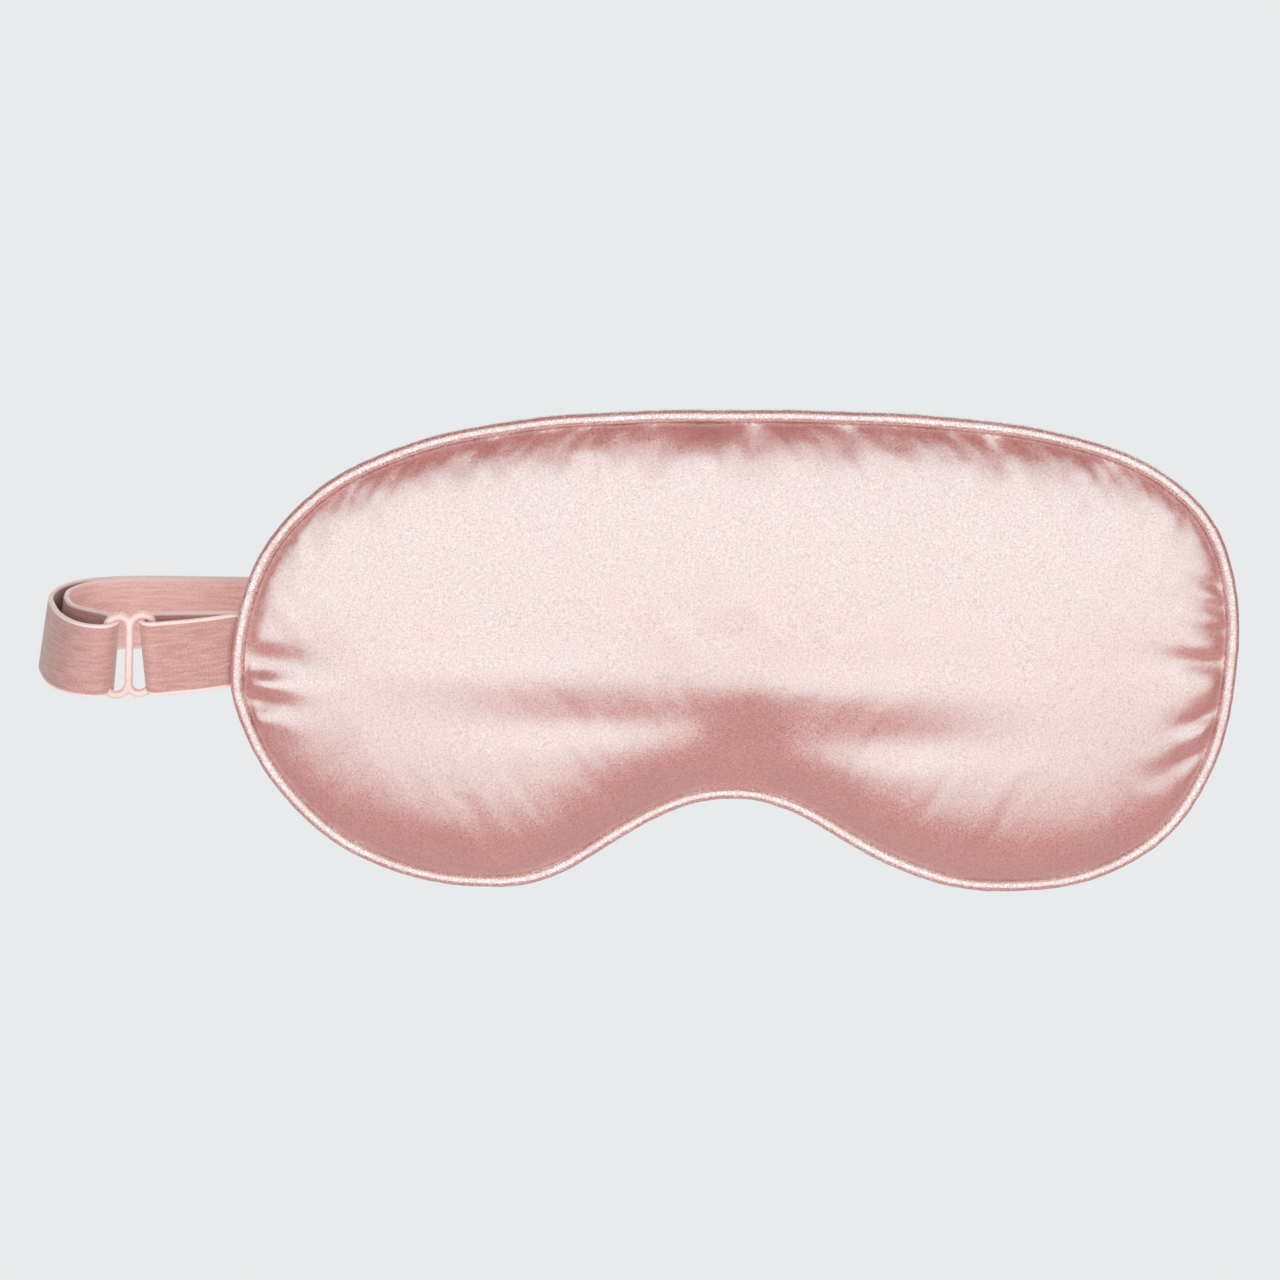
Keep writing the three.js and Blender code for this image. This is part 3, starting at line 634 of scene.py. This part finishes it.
SEAM_FOLDS = (
    # place (x, z), direction inwards, reach, half width, depth: all in millimetres
    ((-50.5, 49.5), (0.20, -1.0), 14, 2.0, 0.5), ((-38.2, 50.3), (0.10, -1.0), 18, 2.2, 0.9),
    ((-30.3, 50.5), (0.05, -1.0), 32, 1.7, 0.9), ((-23.0, 50.6), (-0.10, -1.0), 14, 2.4, -0.6),
    ((-15.7, 50.6), (0.05, -1.0), 18, 2.4, 0.8), ((-6.2, 50.6), (0.00, -1.0), 18, 3.0, -1.3),
    ((3.3, 50.6), (-0.05, -1.0), 22, 2.3, 1.0), ((13.5, 50.5), (0.05, -1.0), 14, 3.0, -0.4),
    ((23.8, 50.3), (0.12, -1.0), 19, 2.3, 0.9), ((33.3, 50.0), (-0.15, -1.0), 20, 1.8, 0.7),
    ((41.0, 49.6), (-0.10, -1.0), 13, 2.4, -0.5), ((52.9, 48.6), (-0.15, -1.0), 18, 2.2, 0.9),
    ((-103.2, -1.4), (1.0, -0.03), 20, 2.7, 1.9), ((-103.2, -6.0), (1.0, 0.02), 15, 1.5, -1.5),
    ((-103.2, -10.4), (1.0, 0.00), 12, 1.5, 1.4), ((-102.8, -14.6), (1.0, 0.15), 11, 1.6, -0.8),
    ((102.4, 13.6), (-1.0, 0.55), 9, 0.9, 0.9), ((103.0, 9.4), (-1.0, 0.35), 10, 1.0, 0.9),
    ((103.2, 4.6), (-1.0, 0.15), 8, 0.9, 0.9), ((103.1, -2.6), (-1.0, 0.22), 16, 1.4, 1.4),
    ((103.0, -7.2), (-1.0, 0.00), 12, 2.0, -0.9), ((102.4, -12.2), (-1.0, -0.35), 11, 1.1, 1.3),
    ((101.0, -20.3), (-1.0, -0.45), 15, 1.5, 1.2), ((102.0, -16.0), (-1.0, -0.30), 10, 1.6, -0.6),
    ((-65.0, -47.5), (0.10, 1.0), 9, 1.6, 0.5),
    ((-58.0, -48.6), (0.00, 1.0), 8, 1.5, 0.4), ((-38.0, -49.0), (-0.25, 1.0), 9, 1.5, 0.5),
)


def folds_front(spots, depth, arc):
    """How far the front panel sinks at each spot: its seam folds, its dip and its slow hollows."""
    sunk = sum(fold(spots, *entry) for entry in SEAM_FOLDS)
    top = smooth_step(20 * MM, 44 * MM, spots[:, 1])
    ripple = uneven(arc, 1.0, (7.9, 12.1, 19.7, 31.0)) * (0.15 + 0.6 * top) * MM
    near = depth / (4.0 * MM) * np.exp(1 - depth / (4.0 * MM))
    sunk = sunk + ripple * near
    sunk = sunk + dimple(spots, (2.5, -22.5), (7.5, 11.0), 2.6)
    sunk = sunk + dimple(spots, (34.0, -17.5), (22.0, 5.0), 0.7)
    sunk = sunk - dimple(spots, (24.0, -6.0), (30.0, 5.0), 0.5)
    sunk = sunk + dimple(spots, (-30.0, -13.0), (26.0, 4.5), 0.6)
    sunk = sunk - dimple(spots, (-44.0, -2.0), (30.0, 5.0), 0.5)
    return sunk


def folds_back(spots, depth, arc):
    """How far the back panel sinks at each spot: only the seam's own ripple and a few slow hollows."""
    near = depth / (3.0 * MM) * np.exp(1 - depth / (3.0 * MM))
    sunk = uneven(arc, 2.0, (7.9, 12.1, 19.7, 31.0)) * 0.5 * MM * near
    sunk = sunk + dimple(spots, (3.0, -22.0), (9.0, 12.0), 1.0)
    sunk = sunk + dimple(spots, (-52.0, -2.0), (24.0, 6.0), 0.5)
    return sunk + dimple(spots, (50.0, 4.0), (26.0, 5.0), 0.5)


# %% [markdown]
# A panel is one layer of satin 0.5 mm thick. Its seam edge starts beside the piping, 0.4 mm off the
# seam plane, because the piping's flange lies between the two panels.

# %% Satin panels
SATIN_THICKNESS = 0.5 * MM
CLOTH_SHARE = 0.35
FLANGE_HALF = 0.4 * MM
seam_loop = outline_loop(1400, SEAM_INSET)


def seam_arc(spots):
    """Length along the seam of the point of it that is nearest to each spot."""
    gaps = ((spots[:, None, :] - seam_loop[None, :, :]) ** 2).sum(axis=2)
    return gaps.argmin(axis=1) * loop_length(seam_loop) / len(seam_loop)


def panel_surface(side, rise):
    """The satin's outer surface before its folds, for one side, -1 for the front and +1 for the back.

    height = rise * ((1 - m) * dome + m * cloth), where both are 1 at their highest and m is
    CLOTH_SHARE. The points also take 0.4 of the cloth's sideways movement, up to 0.6 mm."""
    blown_side = blown[:len(panel_flat)] if side < 0 else blown[on_back]
    cloth = np.clip(side * blown_side[:, 1], 0, None)
    plain = dome(panel_flat, panel_depth)
    height = rise * ((1 - CLOTH_SHARE) * plain + CLOTH_SHARE * cloth / cloth.max())
    height[:seam_count] = 0
    spread = np.clip(0.4 * (blown_side[:, [0, 2]] - panel_flat), -0.6 * MM, 0.6 * MM)
    spread[:seam_count] = 0
    return np.stack([panel_flat[:, 0] + spread[:, 0], side * (FLANGE_HALF + height),
                     panel_flat[:, 1] + spread[:, 1]], axis=1)


def take_folds(points, side, sinks):
    """The points with the side's folds taken off their height.

    No fold may sink by more than 0.65 of the height h: the change is L tanh(sunk / L), L = 0.65 h."""
    spots = points[:, [0, 2]]
    depth = seam_distance(spots, seam_loop)
    height = np.clip(side * points[:, 1] - FLANGE_HALF, 0, None)
    limit = np.maximum(0.65 * height, 1e-7)
    height = height - limit * np.tanh(sinks(spots, depth, seam_arc(spots)) / limit)
    return np.stack([points[:, 0], side * (FLANGE_HALF + height), points[:, 2]], axis=1)


def satin_panel(name, side, rise, sinks, node):
    """One satin panel as a closed shell, in place of the CAD cover."""
    mesh = bpy.data.meshes.new(name)
    faces = panel_faces if side < 0 else panel_faces[:, ::-1]
    mesh.from_pydata(panel_surface(side, rise).tolist(), [], faces.tolist())
    mesh.polygons.foreach_set("use_smooth", [True] * len(mesh.polygons))
    panel = bpy.data.objects.new(name, mesh)
    scene.collection.objects.link(panel)
    bpy.context.view_layer.update()
    if mesh.polygons[len(mesh.polygons) // 2].normal.y * side < 0:
        mesh.flip_normals()
    finer = panel.modifiers.new("Finer", "SUBSURF")
    finer.levels = finer.render_levels = 1
    apply_modifiers(panel)
    set_vertices(panel.data, take_folds(vertices_of(panel.data), side, sinks) + np.array([0, seam_y, 0]))
    shell = panel.modifiers.new("Thickness", "SOLIDIFY")
    shell.thickness = SATIN_THICKNESS
    shell.offset = -1
    apply_modifiers(panel)
    panel.data.materials.append(satin)
    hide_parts(node)
    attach(panel, "mask")
    return panel


front_panel = satin_panel("front_satin_panel", -1, FRONT_RISE, folds_front, "front_cover")
back_panel = satin_panel("back_satin_panel", 1, BACK_RISE, folds_back, "back_cover")
for panel in (front_panel, back_panel):
    print(panel.name, len(panel.data.polygons), "faces,", "y from",
          round(vertices_of(panel.data)[:, 1].min() / MM, 2), "to",
          round(vertices_of(panel.data)[:, 1].max() / MM, 2), "mm")

# %% [markdown]
# ## Wadding
# Each panel is filled by a layer of wadding that follows it 1.3 mm below, and lies flat on the lining.

# %% Wadding
WADDING_GAP = 1.3 * MM
WADDING_EDGE = 6.0 * MM
LINING_CLEARANCE = 0.5 * MM


def wadding_layer(name, side, rise, sinks, node):
    """The filling under one panel: a domed top, a flat base, and a wall where they meet."""
    surface = take_folds(panel_surface(side, rise), side, sinks)
    height = side * surface[:, 1] - WADDING_GAP
    kept_faces = panel_faces[(panel_depth[panel_faces] > WADDING_EDGE).all(axis=1)]
    used = np.unique(kept_faces)
    number = np.full(len(surface), -1)
    number[used] = np.arange(len(used))
    faces = number[kept_faces]
    top = surface[used].copy()
    top[:, 1] = side * np.maximum(height[used], LINING_CLEARANCE + 0.3 * MM)
    base = top.copy()
    base[:, 1] = side * LINING_CLEARANCE
    edges = np.vstack([faces[:, [0, 1]], faces[:, [1, 2]], faces[:, [2, 0]]])
    present = {tuple(edge) for edge in edges.tolist()}
    rim = np.array([edge for edge in present if edge[::-1] not in present])
    wall = np.stack([rim[:, 1], rim[:, 0], rim[:, 0] + len(used), rim[:, 1] + len(used)], axis=1)
    points = np.vstack([top, base]) + np.array([0, seam_y, 0])
    layer = new_mesh(name, points, faces.tolist() + (faces[:, ::-1] + len(used)).tolist() + wall.tolist())
    layer.data.materials.append(wadding_fibre)
    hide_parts(node)
    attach(layer, "mask")
    return layer


front_filling = wadding_layer("front_wadding_fill", -1, FRONT_RISE, folds_front, "front_wadding")
back_filling = wadding_layer("back_wadding_fill", 1, BACK_RISE, folds_back, "back_wadding")
print("wadding", len(front_filling.data.polygons), "and", len(back_filling.data.polygons), "faces")

# %% [markdown]
# ## Piping
# A bias strip of the same satin, folded round a cord and sewn between the panels. Its section is an
# open sleeve with two flange layers that run 5 mm into the seam. Bias-cut satin never lies quite
# smooth on its cord, so the sleeve's radius and its distance from the edge wander a little.

# %% Piping
PIPING_WALL = 0.3 * MM
FLANGE_REACH = 6.25 * MM
PIPING_STEPS = 720


def piping_section():
    """The sleeve's closed section as (inward, across) metres from the cord's centre."""
    outer_angle = math.asin(0.35 * MM / PIPING_RADIUS)
    turn = np.linspace(outer_angle, 2 * math.pi - outer_angle, 26)
    outer = PIPING_RADIUS * np.stack([np.cos(turn), np.sin(turn)], axis=1)
    inner_radius = PIPING_RADIUS - PIPING_WALL
    inner_angle = math.asin(0.05 * MM / inner_radius)
    back_turn = np.linspace(2 * math.pi - inner_angle, inner_angle, 20)
    inner = inner_radius * np.stack([np.cos(back_turn), np.sin(back_turn)], axis=1)
    far = FLANGE_REACH - PIPING_RADIUS
    flange = [[far, -0.35 * MM], [far, -0.05 * MM]]
    flange_back = [[far, 0.05 * MM], [far, 0.35 * MM]]
    return np.vstack([outer, flange, inner, flange_back])


section = piping_section()
centre_loop = outline_loop(PIPING_STEPS, PIPING_RADIUS)
along = np.roll(centre_loop, -1, axis=0) - np.roll(centre_loop, 1, axis=0)
along /= np.linalg.norm(along, axis=1)[:, None]
inward = np.stack([along[:, 1], -along[:, 0]], axis=1)
arc = np.arange(PIPING_STEPS) * loop_length(centre_loop) / PIPING_STEPS
swell = 1.06 + 0.06 * uneven(arc, 3.0, (3.7, 5.3, 7.9, 12.1))
wander = 0.06 * MM * np.sin(2 * math.pi * arc / loop_length(centre_loop) * 23 + 1.0)
is_round = (section[:, 0] < PIPING_RADIUS)[None, :, None]
tube = np.where(is_round, section[None, :, :] * swell[:, None, None], section[None, :, :])
reach_in = tube[:, :, 0] + wander[:, None]
piping_points = np.stack([
    centre_loop[:, 0:1] + inward[:, 0:1] * reach_in,
    seam_y + tube[:, :, 1],
    centre_loop[:, 1:2] + inward[:, 1:2] * reach_in], axis=2)
piping = new_mesh("piping_tube", piping_points.reshape(-1, 3),
                  grid_faces(PIPING_STEPS, len(section), wrap_rows=True, wrap_columns=True))
# The piping's satin is painted paler than the panels': painted highlight.
piping.data.materials.append(piping_satin)
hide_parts("piping_sleeve")
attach(piping, "mask")
print("piping", len(piping.data.polygons), "faces")

# %% [markdown]
# ## Seam threads
# The mask is closed by a lockstitch beside the piping: the needle thread lies under the front panel
# and the bobbin thread under the back one, and each dips at every stitch.

# %% Seam threads
THREAD_RADIUS = 0.15 * MM
THREAD_INSET = 3.6 * MM
STITCH = 2.5 * MM


def closed_tube(name, spine, radius, sides=8):
    """A closed ring of thread round a closed spine of points."""
    tangent = np.roll(spine, -1, axis=0) - np.roll(spine, 1, axis=0)
    tangent /= np.linalg.norm(tangent, axis=1)[:, None]
    first = np.cross(tangent, [0, 1.0, 0])
    first /= np.linalg.norm(first, axis=1)[:, None]
    second = np.cross(first, tangent)
    turn = np.linspace(0, 2 * math.pi, sides, endpoint=False)
    ring = spine[:, None, :] + radius * (np.cos(turn)[None, :, None] * first[:, None, :]
                                         + np.sin(turn)[None, :, None] * second[:, None, :])
    return new_mesh(name, ring.reshape(-1, 3), grid_faces(len(spine), sides, True, True))


def seam_thread(name, side, node):
    """One thread of the lockstitch, in place of the CAD thread."""
    loop = outline_loop(900, THREAD_INSET)
    run = np.arange(900) * loop_length(loop) / 900
    stitches = round(loop_length(loop) / STITCH)
    dip = 0.05 * MM * np.cos(2 * math.pi * stitches * run / loop_length(loop))
    thread = closed_tube(name, np.stack([loop[:, 0], seam_y + side * (0.55 * MM + dip), loop[:, 1]], axis=1),
                         THREAD_RADIUS)
    thread.data.materials.append(sewing_thread)
    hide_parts(node)
    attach(thread, "mask")
    return thread


seam_thread("front_lockstitch", -1, "front_seam_thread")
seam_thread("back_lockstitch", 1, "back_seam_thread")
print("seam", round(loop_length(outline_loop(900, THREAD_INSET)) / STITCH), "stitches")

# %% [markdown]
# ## The elastic strap
# Each piece of strap is a band swept along its path in plan. The section is 16 mm wide and 1 mm
# thick, with real ribs on both faces and a rounded selvedge. The loop's outer end hangs a little, so
# the strap leans there: its lower edge stands further out than its upper one.


# %% Strap
STRAP_HALF = 8.0 * MM
ELASTIC_HALF = 0.5 * MM
RIB_HEIGHT = 0.05 * MM
LEAN = 2.8 * MM
FOLD_SLANT = 1.7 * MM


def smooth_path(corners, spacing):
    """Evenly spaced points (x, y) in metres on a Catmull-Rom curve through corners in millimetres."""
    corners = np.array(corners, float) * MM
    before = np.vstack([2 * corners[:1] - corners[1:2], corners, 2 * corners[-1:] - corners[-2:-1]])
    t = np.linspace(0, 1, 24, endpoint=False)[:, None, None]
    p0, p1, p2, p3 = (before[None, k:len(before) - 3 + k] for k in range(4))
    curve = 0.5 * (2 * p1 + (p2 - p0) * t + (2 * p0 - 5 * p1 + 4 * p2 - p3) * t ** 2
                   + (3 * p1 - p0 - 3 * p2 + p3) * t ** 3)
    curve = np.vstack([curve.transpose(1, 0, 2).reshape(-1, 2), corners[-1:]])
    reach = np.concatenate([[0], np.cumsum(np.linalg.norm(np.diff(curve, axis=0), axis=1))])
    steps = max(2, int(round(reach[-1] / spacing)))
    wanted = np.linspace(0, reach[-1], steps + 1)
    return np.stack([np.interp(wanted, reach, curve[:, k]) for k in range(2)], axis=1), wanted


def strap_section():
    """Heights z across the strap and the half thickness there: ribs, and a rounded selvedge."""
    z = np.concatenate([np.linspace(-8.0, -7.5, 5)[:-1], np.linspace(-7.5, 7.5, 91),
                        np.linspace(7.5, 8.0, 5)[1:]]) * MM
    rib = RIB_HEIGHT * (np.abs(np.sin(math.pi * z / RIB_PITCH)) - 0.6)
    edge = np.clip((np.abs(z) - 7.45 * MM) / (0.55 * MM), 0, 0.995)
    half = np.where(edge > 0, 1.04 * ELASTIC_HALF * np.sqrt(1 - edge ** 2), ELASTIC_HALF + rib)
    return z, half


def strap_piece(name, corners, nodes, spacing=0.8 * MM, painted_light_face=False):
    """A band of elastic along the path, with its own map of length and width.

    On the inner band the right-hand face, which lies towards the head, is marked for a paler colour: painted
    light."""
    path, length = smooth_path(corners, spacing)
    tangent = np.gradient(path, axis=0)
    tangent /= np.linalg.norm(tangent, axis=1)[:, None]
    side = np.stack([-tangent[:, 1], tangent[:, 0]], axis=1)
    z, half = strap_section()
    loop_z = np.concatenate([z, z[::-1]])
    loop_half = np.concatenate([half, -half[::-1]])
    x = path[:, 0:1] + side[:, 0:1] * loop_half
    y = path[:, 1:2] + side[:, 1:2] * loop_half
    weight = smooth_step(-127 * MM, -142 * MM, path[:, 0:1]) if path[:, 0].min() < -0.13 else 0 * path[:, 0:1]
    low = 0.5 - loop_z / (2 * STRAP_HALF)
    x = x - LEAN * low * weight
    near_front = smooth_step(-3 * MM, -7 * MM, path[:, 1:2])
    left_fold = smooth_step(-134 * MM, -129 * MM, path[:, 0:1])
    right_fold = smooth_step(-117 * MM, -123 * MM, path[:, 0:1])
    x = x - FOLD_SLANT * low * near_front * np.where(path[:, 0:1] < -0.126, left_fold, -0.6 * right_fold)
    wave = 0.12 * MM * np.sin(path[:, 0:1] / (7.3 * MM))
    points = np.stack([x, y, np.broadcast_to(loop_z, x.shape) + wave], axis=2)
    rows, columns = x.shape
    faces = grid_faces(rows, columns, wrap_columns=True).tolist()
    faces.append(list(range(columns)))
    faces.append([(rows - 1) * columns + k for k in range(columns)][::-1])
    band = new_mesh(name, points.reshape(-1, 3), faces)
    chart = band.data.uv_layers.new(name="strap")
    corner_point = np.empty(len(band.data.loops), int)
    band.data.loops.foreach_get("vertex_index", corner_point)
    mapped = np.stack([length[corner_point // columns], loop_z[corner_point % columns]], axis=1)
    chart.data.foreach_set("uv", mapped.ravel())
    # The face towards the head is marked for the paler colour of painted light.
    plush = band.data.attributes.new("plush", "FLOAT", "POINT")
    turned_in = np.tile(np.where(loop_half < 0, float(painted_light_face), 0.0), rows)
    plush.data.foreach_set("value", turned_in.astype(np.float32))
    band.data.materials.append(elastic)
    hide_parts(*nodes)
    print(name, len(band.data.polygons), "faces,", round(length[-1] / MM, 1), "mm long")
    return band


FAR_OUTER_Y = 19.45
right_drop = [(40, FAR_OUTER_Y), (60, 19.2), (77, 17.6), (88, 13.6), (95.5, 8.0), (99.8, 1.8),
              (101.6, -2.0), (102.6, -4.1)]
loop_strap = strap_piece("loop_strap", [
    (-141.2, 8.6), (-139.6, 3.6), (-136.4, 0.2), (-133.2, -2.2), (-130.6, -4.6), (-128.7, -7.6),
    (-129.0, -10.6), (-131.0, -12.2), (-134.6, -11.4), (-138.2, -8.2), (-141.2, -3.2), (-143.2, 2.8),
    (-144.4, 9.0), (-143.2, 15.2), (-139.6, 19.4), (-134.6, 21.2), (-127.0, 21.8), (-105.0, 21.8),
    (-80.0, 21.0), (-58.0, 19.6), (-50.0, FAR_OUTER_Y), (-15.0, FAR_OUTER_Y), (0.0, FAR_OUTER_Y),
    (20.0, FAR_OUTER_Y)]
    + right_drop,
    ("strap_ring_loop", "strap_bend_outer", "strap_bend_inner", "strap_far_run"), spacing=1.0 * MM)
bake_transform(loop_strap)
inner_strap = strap_piece("inner_strap", [
    (-141.22, 8.66), (-140.9, 13.2), (-138.0, 17.4), (-133.6, 19.6), (-126.0, 20.6), (-104.0, 20.6),
    (-80.0, 19.8), (-58.0, 18.4), (-45.0, 18.1), (-15.0, 18.05), (0.0, 18.05), (10.0, 18.1),
    (14.0, 18.15), (15.1, 17.7),
    (15.55, 16.6), (15.1, 15.5), (14.0, 15.05), (9.0, 15.0), (4.0, 15.0), (0.2, 15.05)],
    ("strap_inner_run", "strap_end_loop"), spacing=0.8 * MM, painted_light_face=True)
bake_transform(inner_strap)
tab_strap = strap_piece("tab_strap", [
    (-103.4, -3.7), (-105.6, -4.4), (-108.4, -5.9), (-112.5, -7.8), (-117.5, -9.6), (-121.4, -10.7),
    (-123.2, -9.8), (-123.6, -7.6), (-122.6, -5.0), (-120.2, -3.7), (-116.0, -3.2), (-110.0, -2.8),
    (-106.4, -2.4), (-103.6, -2.1)], ("strap_tab",), spacing=0.5 * MM)
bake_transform(tab_strap)

# %% [markdown]
# ## Ring and slide
# Both fittings are two moulded loops side by side that share their middle bar. The loops are tubes
# merged by a fine voxel remesh, so the crotches where they part come out filled, as moulding leaves
# them. The slide is arched so that the strap can thread through it.


# %% Moulded fittings
def fitting(name, centre, across, front, spacing, wire, height, arch, node, body, lean=0.0):
    """Two stadium loops of wire that share a bar. arch(u) is how far the wire stands forward at u."""
    radius = spacing / 2
    straight = height / 2 - wire / 2 - radius
    turn = np.linspace(0, math.pi, 24)
    outline = np.vstack([
        np.stack([radius * np.cos(turn), straight + radius * np.sin(turn)], axis=1),
        np.stack([-radius * np.cos(turn), -straight - radius * np.sin(turn)], axis=1)])
    closed = np.vstack([outline, outline[:1]])
    reach = np.concatenate([[0], np.cumsum(np.linalg.norm(np.diff(closed, axis=0), axis=1))])
    wanted = np.linspace(0, reach[-1], 140, endpoint=False)
    outline = np.stack([np.interp(wanted, reach, closed[:, k]) for k in range(2)], axis=1)
    turn = np.linspace(0, 2 * math.pi, 20, endpoint=False)
    points, faces = [], []
    for side in (-1, 1):
        u = outline[:, 0] + side * radius
        rise = arch(u)
        u = u - lean * outline[:, 1]
        spine = u[:, None] * across + rise[:, None] * front + outline[:, 1:2] * np.array([0, 0, 1.0])
        tangent = np.roll(spine, -1, axis=0) - np.roll(spine, 1, axis=0)
        tangent /= np.linalg.norm(tangent, axis=1)[:, None]
        inner = np.cross(tangent, np.broadcast_to(front, tangent.shape))
        inner /= np.linalg.norm(inner, axis=1)[:, None]
        outer = np.cross(inner, tangent)
        ring = (spine[:, None, :] + wire / 2 * (np.cos(turn)[None, :, None] * inner[:, None, :]
                + np.sin(turn)[None, :, None] * outer[:, None, :]))
        faces.append(grid_faces(len(spine), len(turn), True, True) + sum(len(p) for p in points))
        points.append((centre + ring).reshape(-1, 3))
    piece = new_mesh(name, np.vstack(points), np.vstack(faces))
    fused = piece.modifiers.new("Fuse", "REMESH")
    fused.mode = "VOXEL"
    fused.voxel_size = 0.14 * MM
    fused.use_smooth_shade = True
    soft = piece.modifiers.new("Soften", "SMOOTH")
    soft.factor = 0.5
    soft.iterations = 6
    apply_modifiers(piece)
    face_out(piece)
    piece.data.materials.append(nylon)
    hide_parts(node)
    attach(piece, body)
    print(name, len(piece.data.polygons), "faces")
    return piece


ring_hinge = np.array(joints["ring_swivel"]["pos_m"])
near_angle = math.radians(12.5)
leftwards = np.array([-math.cos(near_angle), -math.sin(near_angle), 0.0])
forwards = np.array([math.sin(near_angle), -math.cos(near_angle), 0.0])
fitting("ring_moulding", ring_hinge + 4.8 * MM * leftwards - 0.7 * MM * forwards + np.array([0, 0, 0.6 * MM]),
        leftwards, forwards, 4.8 * MM, 1.7 * MM, 18.9 * MM, lambda u: 0 * u, "strap_ring", "ring", lean=0.05)
fitting("slide_moulding", np.array([14.0, 16.6, 0.0]) * MM, np.array([1.0, 0, 0]), np.array([0, 1.0, 0]),
        6.5 * MM, 1.5 * MM, 19.4 * MM, lambda u: 4.4 * MM * smooth_step(0, 6.5 * MM, np.abs(u)),
        "strap_slide", "slide")

# %% [markdown]
# ## Bar tack
# The strap's inner end is sewn down on itself by a dense zigzag of thread.

# %% Bar tack
TACK_THREAD_RADIUS = 0.2 * MM
steps = np.arange(0, 57)
tack_x = (2.0 + 0.8 * np.where(steps % 2, 1, -1)) * MM
tack_z = np.linspace(-7.2, 7.2, len(steps)) * MM
spine = np.stack([tack_x, np.full(len(steps), 14.2 * MM), tack_z], axis=1)
tangent = np.gradient(spine, axis=0)
tangent /= np.linalg.norm(tangent, axis=1)[:, None]
first = np.cross(tangent, [0, 1.0, 0])
turn = np.linspace(0, 2 * math.pi, 10, endpoint=False)
ring = spine[:, None, :] + TACK_THREAD_RADIUS * (np.cos(turn)[None, :, None] * first[:, None, :]
                                            + np.sin(turn)[None, :, None] * np.array([0, 1.0, 0]))
faces = grid_faces(len(spine), 10, wrap_columns=True).tolist()
faces += [list(range(10)), [(len(spine) - 1) * 10 + k for k in range(10)][::-1]]
tack = new_mesh("bar_tack_stitches", ring.reshape(-1, 3), faces)
tack.data.materials.append(sewing_thread)
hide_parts("end_loop_tack")
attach(tack, "slide")

# %% [markdown]
# ## CAD pieces that stay
# The lining and the piping's cord are hidden inside the mask, and their CAD shapes are already what
# they are. They take their own finish.

# %% Inner pieces
for name, finish in (("blackout_lining", lining_weave), ("piping_cord", cotton_cord)):
    node = frame["nodes"][name]
    node.data.materials.clear()
    node.data.materials.append(finish)
print("kept", len(frame["nodes"]), "CAD nodes in the frame")
